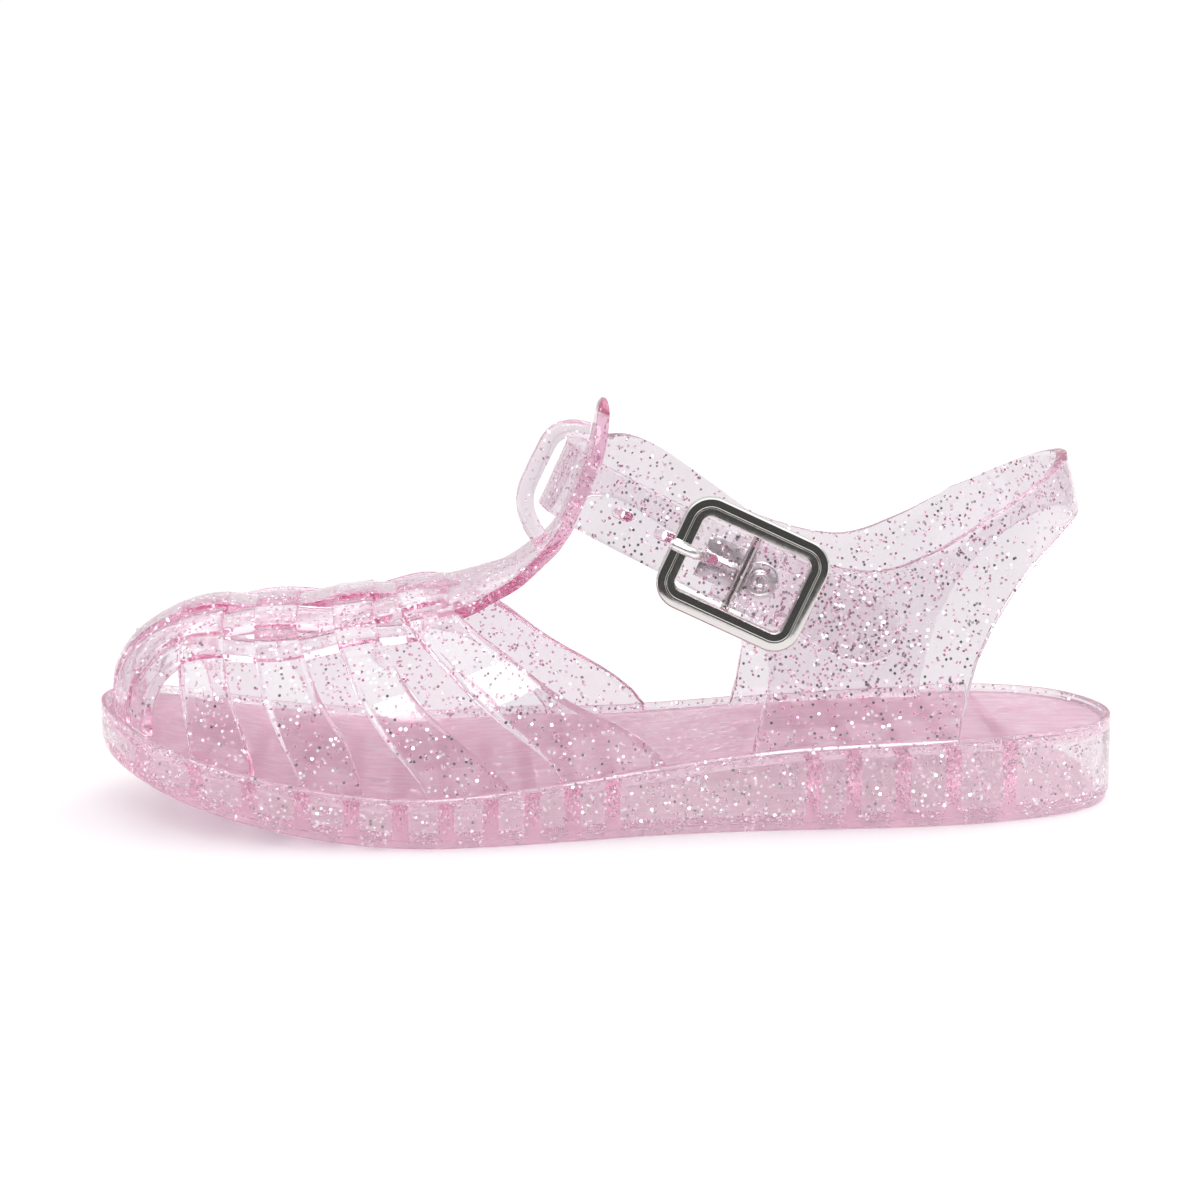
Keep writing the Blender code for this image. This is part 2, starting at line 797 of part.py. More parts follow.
def instep_bar():
    """Instep bar on the ridge and the tongue that stands up behind the ankle strap."""
    rows = []
    for along, half, crown in INSTEP_BAR:
        top = dome(place(along), 0.0)
        rows.append((top.x, top.z - TBAR_SINK, half * BALL_WIDTH, crown / BALL_WIDTH))
    for behind, up, half in TONGUE:
        p = NOSE + BACK * (behind * HALF) + UP * (up * HALF)
        rows.append((p.x, p.z, half * BALL_WIDTH, TONGUE_CROWN / BALL_WIDTH))
    path = smooth_path(rows, 2)
    grid = []
    for k, (x, z, half, crown) in enumerate(path):
        ahead = path[min(k + 1, len(path) - 1)] - path[max(k - 1, 0)]
        slope = Vector((ahead.x, 0, ahead.y)).normalized()
        inwards = Vector((slope.z, 0, -slope.x))
        line = []
        for j in range(TBAR_CELLS + 1):
            y = half * (1 - 2 * j / TBAR_CELLS)
            line.append(Vector((x, y, z)) + inwards * (crown * y * y))
        grid.append(line)
    inner = moved_grid(grid, grid_normals(grid), -TBAR_WALL)
    return sheet_solid("vamp", grid, inner, plastic)


def strap_loop():
    """Loop in front of the tongue that the ankle strap runs through."""
    reach = LOOP_BAR / 2 + LOOP_CLEARANCE
    points = [NOSE - BACK * (before * reach) + UP * (up * HALF) for before, up in LOOP]
    path = smooth_path(points, 2)
    return ring_solid("strap_loop", sweep(path, Vector((0, 1, 0)), LOOP_DEPTH, LOOP_BAR), plastic)


def make_vamp():
    """Woven toe cage with its instep bar, tongue and loop, moulded as one."""
    vamp = instep_bar()
    tools = [cross_strap(index) for index in range(len(CROSS_STRAPS))]
    tools.append(strip("centre_strip", 1, -1, 4, CENTRE_END, 1))
    tools.append(strip("middle_strip_lateral", -2, -3, 2, CENTRE_END, -1))
    tools.append(strip("middle_strip_medial", 3, 2, 2, CENTRE_END, -1))
    tools.append(strip("side_strip_lateral", -4, -5, 2, SIDE_END, 1))
    tools.append(strip("side_strip_medial", 5, 4, 2, SIDE_END, 1))
    tools.append(strap_loop())
    for tool in tools:
        combine(vamp, tool, "UNION")


def heel_back_x(z):
    return place(read(HEEL_BACK, z / COLLAR_BACK, 1))


def wall_width(x, z, side):
    """Half width of the quarter's outer face at a place and height."""
    heel_x = place(HEEL_START)
    here = min(x, heel_x)
    foot = foot_width(here, side)
    upright = rim_z(here) + WALL_EASE * (COLLAR_LOW - rim_z(here))
    width = ease(((rim_z(here), foot), (upright, COLLAR_HALF_WIDTH)), z)
    if x <= heel_x:
        return width
    round_share = min((x - heel_x) / (heel_back_x(z) - heel_x), 1.0)
    return width * math.sqrt(1 - round_share**HEEL_POWER)


def heel_point(turn, z, side):
    """Outer face of the heel band at an angle round the heel."""
    heel_x = place(HEEL_START)
    share = math.sin(math.radians(turn)) ** (2 / HEEL_POWER)
    x = heel_x + (heel_back_x(z) - heel_x) * share
    width = wall_width(heel_x, z, side) * math.cos(math.radians(turn))
    return Vector((x, side * width, z))


def between(low, high):
    """Even steps from one value to the other, one for each edge of a wall's cells."""
    return [low + (high - low) * k / WALL_CELLS for k in range(WALL_CELLS + 1)]


def quarter_column(row, side):
    """Points up one column of the quarter, from its foot to the collar."""
    foot_along, foot_rise, top_along, top_height = row
    foot_x = place(foot_along)
    foot_low = footbed_z(foot_x) + GAP
    foot_z = foot_low + foot_rise * (COLLAR_LOW - foot_low)
    along = between(foot_x, place(top_along))
    up = between(foot_z, top_height * COLLAR_LOW)
    return [Vector((x, side * wall_width(x, z, side), z)) for x, z in zip(along, up)]


def heel_column(row, side):
    turn, low, high = row
    return [heel_point(turn, z, side) for z in between(low * COLLAR_BACK, high * COLLAR_BACK)]


def ankle_plan(steps):
    """Half plan of the ankle strap's outer face, from its nose: (behind it, half width)."""
    mirrored = (ANKLE_PLAN[1][0], -ANKLE_PLAN[1][1])
    rows = (mirrored,) + ANKLE_PLAN
    points = [(a * BUCKLE_SEAT, b * COLLAR_HALF_WIDTH, 0) for a, b in rows]
    return smooth_path(points, steps)[steps:]


PLAN = ankle_plan(6)
MERGE = ANKLE_PLAN[-1][0] * BUCKLE_SEAT


def strap_point(behind, up, side, off=0.0):
    """Point of the ankle strap's outer face, or off it, behind its nose and up its width."""
    p = NOSE + BACK * behind + UP * up
    if side > 0:
        p += UP * (INNER_RISE * read(RISE_PLAN, behind / BUCKLE_SEAT, 1))
    if behind <= MERGE:
        width = float(np.interp(behind, [q.x for q in PLAN], [q.y for q in PLAN]))
    else:
        width = wall_width(p.x, p.z, side)
    return Vector((p.x, side * (width + off), p.z))


def strap_column(behind, side, off=0.0, share=1.0):
    return [strap_point(behind, up, side, off) for up in between(-share * HALF, share * HALF)]


def stand_off(behind):
    """How far the outer ply stands off the inner ply."""
    return ANKLE_WALL * read(OUTER_PLY, (behind - BUCKLE_SEAT) / FRAME_LENGTH, 1)


def outer_column(behind, share=1.0):
    return strap_column(behind, -1, stand_off(behind), share)


TIP_TURNS = (90, 62, 38, 16)
TIP_SHARE = 0.16
TAIL_STEPS = 22
NOSE_END = 0.42


def outer_ply():
    """Columns of the ankle strap from its free round end, through the buckle, to the nose."""
    straight = BUCKLE_SEAT + TAIL_LENGTH - HALF
    columns = []
    for turn in TIP_TURNS:
        share = max(math.cos(math.radians(turn)), TIP_SHARE)
        columns.append(outer_column(straight + HALF * math.sin(math.radians(turn)), share))
    nose = [p.x for p in ankle_plan(3) if p.x <= NOSE_END * BUCKLE_SEAT]
    for k in range(TAIL_STEPS):
        columns.append(outer_column(straight + (nose[-1] - straight) * k / TAIL_STEPS))
    return columns + [outer_column(behind) for behind in reversed(nose[1:])]


def make_heel():
    """Heel band, both quarters and the ankle strap as one wall, with the holes in the strap."""
    strap = [p.x for p in ankle_plan(3)[:-1]]
    stub = [behind for behind in strap if behind > BUCKLE_SEAT - STUB_LENGTH / 2]
    columns = outer_ply()
    columns += [strap_column(behind, 1) for behind in strap]
    columns += [quarter_column(row, 1) for row in QUARTER]
    columns += [heel_column(row, 1) for row in HEEL_BAND]
    columns += [heel_column(row, -1) for row in reversed(HEEL_BAND[:-1])]
    columns += [quarter_column(row, -1) for row in reversed(QUARTER)]
    columns += [strap_column(behind, -1) for behind in reversed(stub)]
    columns.append(strap_column(BUCKLE_SEAT - STUB_LENGTH, -1))
    inner = moved_grid(columns, grid_normals(columns), -ANKLE_WALL)
    heel = sheet_solid("heel_and_ankle_strap", columns, inner, plastic)
    for index in range(HOLE_COUNT):
        behind = BUCKLE_SEAT - HOLE_PITCH * (index + 1)
        ahead = stand_off(behind + GAP)
        centre = strap_point(behind, 0, -1, stand_off(behind))
        along = strap_point(behind + GAP, 0, -1, ahead) - centre
        through = along.cross(UP).normalized() * (2 * ANKLE_WALL)
        path = [centre - through, centre + through]
        cutter = ring_solid("strap_hole_%d" % (index + 1),
                            sweep(path, UP, HOLE_DIAMETER, HOLE_DIAMETER), plastic)
        combine(heel, cutter, "DIFFERENCE")
    way = sweep(buckle_path(PRONG), UP, PRONG_DIAMETER + 2 * GAP, PRONG_DIAMETER + 2 * GAP)
    combine(heel, ring_solid("prong_way", way, plastic), "DIFFERENCE")


# Place of the buckle: its middle on the inner ply, along the strap, and out of it
SEAT = strap_point(BUCKLE_SEAT, 0, -1)
ALONG = (strap_point(BUCKLE_SEAT + GAP, 0, -1) - strap_point(BUCKLE_SEAT - GAP, 0, -1)).normalized()
OUT = ALONG.cross(UP)


def buckle_point(along, across, out):
    return SEAT + ALONG * along + UP * across + OUT * out


def buckle_path(table):
    """Path of the prong or its clip, from a table in prong diameters."""
    return [buckle_point(a * PRONG_DIAMETER, 0, h * PRONG_DIAMETER) for a, h in table]


CORNER_TURNS = (0, 22.5, 45, 67.5, 90)


def make_buckle_frame():
    """Rounded frame of the buckle with its sunk centre bar."""
    level = FRAME_LIFT + FRAME_THICKNESS / 2
    radius = FRAME_CORNER - FRAME_BAR / 2
    long_side = (FRAME_LENGTH - FRAME_BAR) / 2 - radius
    short_side = (FRAME_WIDTH - FRAME_BAR) / 2 - radius
    path = []
    for quarter, (sx, sy) in enumerate(((1, 1), (-1, 1), (-1, -1), (1, -1))):
        for turn in CORNER_TURNS:
            angle = math.radians(90 * quarter + turn)
            path.append(buckle_point(sx * long_side + radius * math.cos(angle),
                                     sy * short_side + radius * math.sin(angle), level))
    rings = sweep(path, OUT, FRAME_THICKNESS, FRAME_BAR, loop=True)
    frame = ring_solid("buckle_frame", rings, metal, loop=True)
    bar = [buckle_point(0, a * FRAME_WIDTH, h * BAR_DIAMETER) for a, h in CENTRE_BAR]
    rings = sweep(bar, ALONG, BAR_DIAMETER, BAR_DIAMETER)
    combine(frame, ring_solid("buckle_centre_bar", rings, metal), "UNION")


def make_prong():
    """Prong of the buckle, with the clip that wraps under the centre bar."""
    path = buckle_path(PRONG)
    rings = sweep(path, UP, PRONG_DIAMETER, PRONG_DIAMETER)
    prong = ring_solid("buckle_prong", rings, metal)
    line = buckle_path(CLIP)
    outer = []
    inner = []
    for k, p in enumerate(line):
        ahead = line[min(k + 1, len(line) - 1)] - line[max(k - 1, 0)]
        out = ahead.cross(UP).normalized() * (PRONG_PLATE_THICKNESS / 2)
        across = UP * (PRONG_PLATE_WIDTH / 2)
        outer.append([p + out - across, p + out + across])
        inner.append([p - out - across, p - out + across])
    clip = sheet_solid("buckle_clip", outer, inner, metal)
    combine(prong, clip, "UNION")


RIVET_SIDES = 20


def make_rivet():
    """Rivet head beside the centre bar, with the rim of its tube."""
    rings = []
    low = RIVET_LIFT
    high = RIVET_LIFT + RIVET_THICKNESS
    profile = ((RIVET_DIAMETER, low), (RIVET_DIAMETER, high), (EYELET_DIAMETER, high),
               (EYELET_DIAMETER, high + EYELET_HEIGHT))
    for diameter, out in profile:
        ring = []
        for i in range(RIVET_SIDES):
            turn = math.tau * i / RIVET_SIDES
            ring.append(buckle_point(RIVET_OFFSET + math.cos(turn) * diameter / 2,
                                     math.sin(turn) * diameter / 2, out))
        rings.append(ring)
    ring_solid("buckle_rivet", rings, metal)


make_sole()
make_tread()
make_vamp()
make_heel()
make_buckle_frame()
make_prong()
make_rivet()
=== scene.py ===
"""Looks of the child's jelly sandal: clear pink plastic full of fine glitter, and a bright buckle.

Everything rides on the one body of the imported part, in its frame: the toe at -X, the lateral
side at -Y, Z up, in metres. The plastic pieces repeat the part's tables, with finer steps.
"""
import math

import bpy
import numpy as np
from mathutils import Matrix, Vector
from mathutils.bvhtree import BVHTree


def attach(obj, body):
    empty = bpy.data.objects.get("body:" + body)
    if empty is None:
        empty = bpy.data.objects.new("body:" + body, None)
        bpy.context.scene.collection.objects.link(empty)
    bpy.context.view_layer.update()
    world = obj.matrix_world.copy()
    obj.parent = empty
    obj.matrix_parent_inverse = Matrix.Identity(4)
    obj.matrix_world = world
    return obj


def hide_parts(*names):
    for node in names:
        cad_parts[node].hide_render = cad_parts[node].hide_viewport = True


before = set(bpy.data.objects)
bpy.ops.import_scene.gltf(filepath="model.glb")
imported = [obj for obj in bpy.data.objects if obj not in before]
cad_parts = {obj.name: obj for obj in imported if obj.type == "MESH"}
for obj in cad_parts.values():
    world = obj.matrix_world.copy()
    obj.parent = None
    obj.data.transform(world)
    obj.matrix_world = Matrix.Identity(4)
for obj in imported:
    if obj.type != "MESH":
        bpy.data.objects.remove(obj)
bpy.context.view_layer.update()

# Driving sizes in metres
LENGTH = 0.175
BALL_WIDTH = 0.070
HEEL_HEIGHT = 0.0149
TOE_SPRING = 0.0115
VAMP_HEIGHT = 0.036
COLLAR_LOW = 0.043
COLLAR_BACK = 0.0604
COLLAR_HALF_WIDTH = 0.0222
GAP = 0.0003
FOOT_GAP = 0.0006

# Sole
LIP_WIDTH = 0.0012
LIP_HEIGHT = 0.0012
LIP_ROUND = 0.0004
FOOTBED = 0.0015
TREAD = 0.0013
TREAD_INSET = 0.0004
RIB_WIDTH = 0.0026
SPRING_START = 0.336

# Moulded straps
STRAP_WALL = 0.0020
STRIP_WALL = 0.0019
TBAR_WALL = 0.0021
WEAVE_LIFT = 0.0006
TBAR_SINK = 0.00025
DOME_POWER = 2.4
DOME_CENTRE = 0.146

# Ankle strap, its loop and the heel band
NOSE_ALONG = 0.4434
NOSE_HEIGHT = 0.0574
ANKLE_SLOPE = math.radians(25)
ANKLE_WIDTH = 0.0116
ANKLE_WALL = 0.0019
INNER_RISE = 0.0041
LOOP_BAR = 0.0031
LOOP_DEPTH = 0.0035
LOOP_CLEARANCE = 0.00125
HOLE_DIAMETER = 0.0021
HOLE_PITCH = 0.0074
HOLE_COUNT = 3
HOLE_SLANT = 0.55
TAIL_LENGTH = 0.0285
HEEL_POWER = 2.3
STUB_LENGTH = 0.0032
STUB_OVERLAP = 0.9
WALL_EASE = 0.8

# Buckle
BUCKLE_SEAT = 0.0333
FRAME_LENGTH = 0.0256
FRAME_WIDTH = 0.0196
FRAME_BAR = 0.0032
FRAME_THICKNESS = 0.0025
FRAME_CORNER = 0.0046
FRAME_LIFT = 0.0027
BAR_DIAMETER = 0.0015
PRONG_DIAMETER = 0.0018
PRONG_PLATE_WIDTH = 0.0076
PRONG_PLATE_THICKNESS = 0.00035
RIVET_DIAMETER = 0.0062
RIVET_THICKNESS = 0.00035
RIVET_OFFSET = 0.0033
RIVET_LIFT = 0.00003

# Plan of the sole: along from the toe as a share of the length, sides as shares of the ball width
OUTLINE = (
    # along, lateral, medial
    (0.031, 0.230, 0.264),
    (0.077, 0.358, 0.372),
    (0.146, 0.441, 0.441),
    (0.243, 0.494, 0.500),
    (0.374, 0.490, 0.482),
    (0.529, 0.407, 0.345),
    (0.671, 0.373, 0.280),
    (0.814, 0.352, 0.312),
    (0.911, 0.287, 0.305),
    (0.969, 0.193, 0.222),
)
TOE_TIP_SHIFT = -0.018
HEEL_TIP_SHIFT = -0.014
SPLINE_POWER = 0.7

# Height of the side wall as a share of the heel height
SIDE_HEIGHT = (
    # along, height
    (0.000, 0.520), (0.157, 0.577), (0.329, 0.577), (0.500, 0.745), (0.671, 0.950), (0.843, 1.000),
    (1.000, 1.000),
)

# Ribs in the hollow sole: place along the length
RIBS = (
    0.0531, 0.1046, 0.1537, 0.2029, 0.2480, 0.2926, 0.3349, 0.3760, 0.4143, 0.4526, 0.4909,
    0.6851, 0.7240, 0.7714, 0.8206, 0.8766,
)

# Ridge line of the vamp as a share of the vamp height
RIDGE = (
    # along, height
    (0.146, 1.000), (0.191, 1.008), (0.226, 1.017), (0.254, 1.031), (0.291, 1.053), (0.335, 1.090),
    (0.372, 1.139), (0.407, 1.200), (0.454, 1.320), (0.500, 1.470), (0.557, 1.670),
)

# Cross straps: place along the length of the front and the rear edge, by angle up the section
STRAP_ANGLES = (0, 15, 30, 60, 90)
CROSS_STRAPS = (
    # front edge, rear edge
    ((0.0943, 0.0886, 0.0829, 0.0817, 0.0825), (0.1537, 0.1417, 0.1309, 0.1251, 0.1251)),
    ((0.1983, 0.1760, 0.1634, 0.1554, 0.1543), (0.2577, 0.2394, 0.2177, 0.1966, 0.1943)),
    ((0.3171, 0.2771, 0.2531, 0.2320, 0.2286), (0.3949, 0.3400, 0.3034, 0.2714, 0.2669)),
    ((0.4440, 0.3886, 0.3497, 0.3000, 0.2886), (0.5434, 0.4577, 0.4103, 0.3469, 0.3371)),
)

# Lengthwise strips: edges as shares of the ball width, measured from the middle line
STRIPS = (
    # along, centre edge, middle inner, middle outer, side inner, side outer
    (0.009, 0.077, 0.091, 0.171, 0.186, 0.229),
    (0.043, 0.080, 0.097, 0.183, 0.197, 0.249),
    (0.071, 0.083, 0.103, 0.183, 0.209, 0.264),
    (0.106, 0.086, 0.111, 0.200, 0.233, 0.286),
    (0.140, 0.090, 0.120, 0.220, 0.254, 0.309),
    (0.174, 0.093, 0.126, 0.233, 0.269, 0.323),
    (0.214, 0.093, 0.126, 0.237, 0.271, 0.326),
    (0.260, 0.089, 0.120, 0.233, 0.263, 0.317),
    (0.294, 0.084, 0.114, 0.220, 0.256, 0.309),
    (0.334, 0.080, 0.106, 0.203, 0.243, 0.294),
)
CENTRE_END = 0.350
SIDE_END = 0.316
WEAVE_START = 0.045
STRIP_SINK = -1.0
FREE_MIDDLE = 0.003

# Instep bar on the ridge: place along the length, half width as a share of the ball width, and
# how fast its section falls away sideways, as ball widths times the square of the half width
INSTEP_BAR = (
    # along, half width, crown
    (0.326, 0.262, 0.56),
    (0.351, 0.249, 0.63),
    (0.374, 0.209, 0.77),
    (0.397, 0.171, 0.91),
)
TONGUE_CROWN = 0.91

# Tongue, in the ankle strap's own directions: behind its nose and up it, in strap half widths
TONGUE = (
    # behind, up, half width as a share of the ball width
    (0.27, -2.26, 0.144),
    (0.50, -1.84, 0.129),
    (0.63, -1.40, 0.117),
    (0.69, -0.95, 0.111),
    (0.71, -0.38, 0.107),
    (0.68, 0.34, 0.106),
    (0.60, 1.12, 0.103),
    (0.48, 1.72, 0.086),
    (0.37, 2.22, 0.056),
    (0.30, 2.55, 0.018),
)

# Loop in the same directions: before the nose in loop reaches, up in strap half widths
LOOP = (
    # before, up
    (-0.95, -1.97), (-0.09, -1.67), (0.62, -1.28), (0.99, -0.83), (1.04, -0.26), (1.01, 0.34),
    (0.96, 0.78), (0.68, 1.12), (0.00, 1.38), (-1.00, 1.52),
)

# Plan of the ankle strap: behind the nose as a share of the buckle's place, side as a share of
# the collar's half width
ANKLE_PLAN = (
    # behind, side
    (0.000, 0.000), (0.016, 0.225), (0.062, 0.430), (0.165, 0.640), (0.320, 0.790), (0.560, 0.905),
    (0.840, 0.970), (1.140, 1.000),
)

# Rise of the ankle strap's inner side over its outer side
RISE_PLAN = (
    # behind as a share of the buckle's seat, share of the rise
    (0.00, 0.00), (0.08, 0.06), (0.18, 0.45), (0.32, 0.94), (0.50, 1.00), (0.80, 0.58),
    (1.14, 0.00),
)

# Outer ply of the ankle strap: place from the buckle's middle as a share of the frame's length,
# and how far its outer face stands off the inner ply, in strap walls
OUTER_PLY = (
    # place, stand off
    (-1.300, 0.00), (-1.000, 0.12), (-0.700, 0.60), (-0.430, 1.24), (-0.240, 2.10), (0.000, 2.50),
    (0.240, 2.10), (0.430, 1.24), (0.700, 1.20), (1.300, 1.20),
)

# Quarter: each column's foot and top; feet rise from the footbed in shares of the low collar
QUARTER = (
    # foot along, foot rise, top along, top height as a share of the low collar
    (0.6406, 0.60, 0.6623, 1.074),
    (0.6434, 0.45, 0.6703, 1.063),
    (0.6411, 0.32, 0.6783, 1.051),
    (0.6360, 0.18, 0.6863, 1.042),
    (0.6314, 0.07, 0.6943, 1.030),
    (0.6286, 0.00, 0.7011, 1.023),
    (0.6543, 0.00, 0.7126, 1.012),
    (0.6886, 0.00, 0.7286, 1.002),
    (0.7286, 0.00, 0.7457, 0.998),
    (0.7686, 0.00, 0.7686, 1.016),
    (0.8029, 0.00, 0.7943, 1.058),
    (0.8257, 0.00, 0.8143, 1.095),
    (0.8280, 0.12, 0.8246, 1.119),
    (0.8349, 0.29, 0.8349, 1.142),
    (0.8440, 0.47, 0.8463, 1.167),
)

# Heel band: angle round the heel, lower and upper edge as shares of the back of the collar
HEEL_BAND = (
    # degrees, lower, upper
    (27, 0.553, 0.851),
    (34, 0.640, 0.878),
    (42, 0.709, 0.910),
    (51, 0.758, 0.940),
    (61, 0.798, 0.967),
    (71, 0.824, 0.986),
    (81, 0.839, 0.997),
    (90, 0.844, 1.000),
)
HEEL_START = 0.7457

# Centre bar of the buckle: across the strap as a share of the frame's width, and height off the
# strap in bar diameters
CENTRE_BAR = (
    # across, height
    (-0.420, 2.50), (-0.395, 1.75), (-0.350, 1.25), (-0.280, 1.17), (0.000, 1.17), (0.280, 1.17),
    (0.350, 1.25), (0.395, 1.75), (0.420, 2.50),
)

# Prong from the centre bar through a hole onto the frame, and the clip that holds it to the bar,
# both in prong diameters: along the strap from the bar, and height off the strap
PRONG = (
    # along, height
    (-0.78, 0.55), (-3.00, 0.55), (-3.75, 0.95), (-4.20, 2.00), (-4.60, 3.05), (-5.20, 3.55),
    (-6.90, 3.55),
)
CLIP = (
    # along, height
    (-3.80, 0.20), (-0.70, 0.20), (0.00, 0.35), (0.31, 0.43), (0.54, 0.66), (0.62, 0.97),
    (0.48, 1.26),
)

# Back of the heel: height as a share of the collar's back, and place along the length
HEEL_BACK = (
    # height, along
    (0.24, 0.9880), (0.84, 0.9629), (1.00, 0.9491),
)


def place(share):
    """X of a share of the length, measured from the toe."""
    return (share - 0.5) * LENGTH


def share_of(x):
    return x / LENGTH + 0.5


def read(table, at, column):
    """Smooth value of a column of a table at a value of its first column."""
    rows = len(table)
    at = min(max(at, table[0][0]), table[-1][0])
    k = 0
    while k < rows - 2 and at > table[k + 1][0]:
        k += 1

    def slope(i):
        low = table[max(i - 1, 0)]
        high = table[min(i + 1, rows - 1)]
        return (high[column] - low[column]) / (high[0] - low[0])

    span = table[k + 1][0] - table[k][0]
    t = (at - table[k][0]) / span
    a = table[k][column]
    b = table[k + 1][column]
    rise = (2 * t**3 - 3 * t**2 + 1) * a + (3 * t**2 - 2 * t**3) * b
    return rise + span * ((t**3 - 2 * t**2 + t) * slope(k) + (t**3 - t**2) * slope(k + 1))


def smooth_path(points, steps):
    """Catmull-Rom curve through points, with an even number of steps between two of them."""
    pts = [Vector(p) for p in points]
    ends = [2 * pts[0] - pts[1]] + pts + [2 * pts[-1] - pts[-2]]
    path = []
    for k in range(1, len(ends) - 2):
        a, b, c, d = ends[k - 1:k + 3]
        for i in range(steps):
            t = i / steps
            path.append(0.5 * (2 * b + (c - a) * t + (2 * a - 5 * b + 4 * c - d) * t**2
                               + (3 * b - a - 3 * c + d) * t**3))
    path.append(pts[-1])
    return path


def closed_spline(points, steps):
    """Periodic cubic spline through points, the same number of steps between each two."""
    here = np.array(points)
    ahead = np.roll(here, -1, axis=0)
    after = np.linalg.norm(ahead - here, axis=1)[:, None] ** SPLINE_POWER
    before = np.roll(after, 1, axis=0)
    unit = np.eye(len(here))
    matrix = (before * np.roll(unit, -1, axis=1) + 2 * (before + after) * unit
              + after * np.roll(unit, 1, axis=1))
    right = 6 * ((ahead - here) / after - (here - np.roll(here, 1, axis=0)) / before)
    bend = np.linalg.solve(matrix, right)
    next_bend = np.roll(bend, -1, axis=0)
    curve = np.empty((len(here), steps, 2))
    for i in range(steps):
        u = i / steps * after
        v = after - u
        curve[:, i] = ((bend * v**3 + next_bend * u**3) / (6 * after)
                       + (here / after - bend * after / 6) * v
                       + (ahead / after - next_bend * after / 6) * u)
    return curve.reshape(-1, 2)


def plan_curve(steps):
    """Outline of the sole in plan, from the heel tip along the lateral side and back."""
    heel = [(place(1.0), HEEL_TIP_SHIFT * BALL_WIDTH)]
    toe = [(place(0.0), TOE_TIP_SHIFT * BALL_WIDTH)]
    lateral = [(place(row[0]), -row[1] * BALL_WIDTH) for row in reversed(OUTLINE)]
    medial = [(place(row[0]), row[2] * BALL_WIDTH) for row in OUTLINE]
    curve = closed_spline(heel + lateral + toe + medial, steps)
    middle = (curve.max(axis=0) + curve.min(axis=0)) / 2
    return curve - middle


def inset_curve(curve, depth):
    """The same closed curve, moved inwards."""
    along = np.roll(curve, -1, axis=0) - np.roll(curve, 1, axis=0)
    along /= np.linalg.norm(along, axis=1)[:, None]
    inwards = np.column_stack([along[:, 1], -along[:, 0]])
    return curve + inwards * depth


def bottom_z(x):
    """Underside of the sole: flat from the heel to the ball, then the toe spring."""
    past = (SPRING_START - share_of(x)) / SPRING_START
    return TOE_SPRING * max(past, 0.0) ** 2


def rim_z(x):
    return bottom_z(x) + HEEL_HEIGHT * read(SIDE_HEIGHT, share_of(x), 1)


def footbed_z(x):
    return rim_z(x) - LIP_HEIGHT


def side_lines(curve):
    """Lateral and medial side of a plan curve, each from toe to heel."""
    start = int(np.argmax(curve[:, 0]))
    line = np.roll(curve, -start, axis=0)
    toe = int(np.argmin(line[:, 0]))
    return line[:toe + 1][::-1], line[toe:]


# Foot of the upper: just inside the lip
FOOT_INSET = LIP_WIDTH + FOOT_GAP
FOOT_STEPS = 24
LATERAL_FOOT, MEDIAL_FOOT = side_lines(inset_curve(plan_curve(FOOT_STEPS), FOOT_INSET))


def foot_width(x, side):
    """Half width of the foot line of the upper, on the lateral (-1) or medial (1) side."""
    line = LATERAL_FOOT if side < 0 else MEDIAL_FOOT
    return abs(float(np.interp(x, line[:, 0], line[:, 1])))


def toe_reaches():
    """Angles round the middle of the dome, and how far the foot line lies that way."""
    line = np.vstack([LATERAL_FOOT[::-1], MEDIAL_FOOT[1:]])
    line = line[line[:, 0] <= DOME_X + TOE_OVERLAP]
    angle = np.arctan2(line[:, 1], DOME_X - line[:, 0])
    order = np.argsort(angle)
    return angle[order], np.hypot(line[:, 1], DOME_X - line[:, 0])[order]


DOME_X = place(DOME_CENTRE)
TOE_OVERLAP = 0.002
TOE_ANGLES, TOE_REACHES = toe_reaches()


def dome_share(x, y):
    """Distance from the ridge as a share of the way to the foot line."""
    if x >= DOME_X:
        return min(abs(y) / foot_width(x, y), 1.0)
    angle = math.atan2(y, DOME_X - x)
    reach = float(np.interp(angle, TOE_ANGLES, TOE_REACHES))
    return min(math.hypot(y, DOME_X - x) / reach, 1.0)


def dome(x, y):
    """Point of the last's surface over a place in plan."""
    share = dome_share(x, y)
    foot_x = x if x >= DOME_X else DOME_X + (x - DOME_X) / max(share, 0.01)
    low = rim_z(max(foot_x, place(0.0)))
    high = VAMP_HEIGHT * read(RIDGE, share_of(x), 1)
    rise = (1 - share**DOME_POWER) ** (1 / DOME_POWER)
    return Vector((x, y, low + (high - low) * rise))


def ease(table, at):
    """Value between rows of (place, value), eased so that it is level at each row."""
    if at <= table[0][0]:
        return table[0][1]
    for (a, low), (b, high) in zip(table, table[1:]):
        if at <= b:
            t = (at - a) / (b - a)
            return low + (high - low) * t * t * (3 - 2 * t)
    return table[-1][1]


def grid_normals(grid):
    """Outward directions of a grid whose columns run to the right as its rows run away."""
    normals = []
    for i, line in enumerate(grid):
        above = grid[max(i - 1, 0)]
        below = grid[min(i + 1, len(grid) - 1)]
        row = []
        for j in range(len(line)):
            across = line[min(j + 1, len(line) - 1)] - line[max(j - 1, 0)]
            row.append(across.cross(below[j] - above[j]).normalized())
        normals.append(row)
    return normals


def moved_grid(grid, normals, depth):
    """Grid moved along its normals; depth is a number or a function of row and column."""
    amount = depth if callable(depth) else (lambda i, j: depth)
    return [[p + n * amount(i, j) for j, (p, n) in enumerate(zip(line, line_normals))]
            for i, (line, line_normals) in enumerate(zip(grid, normals))]


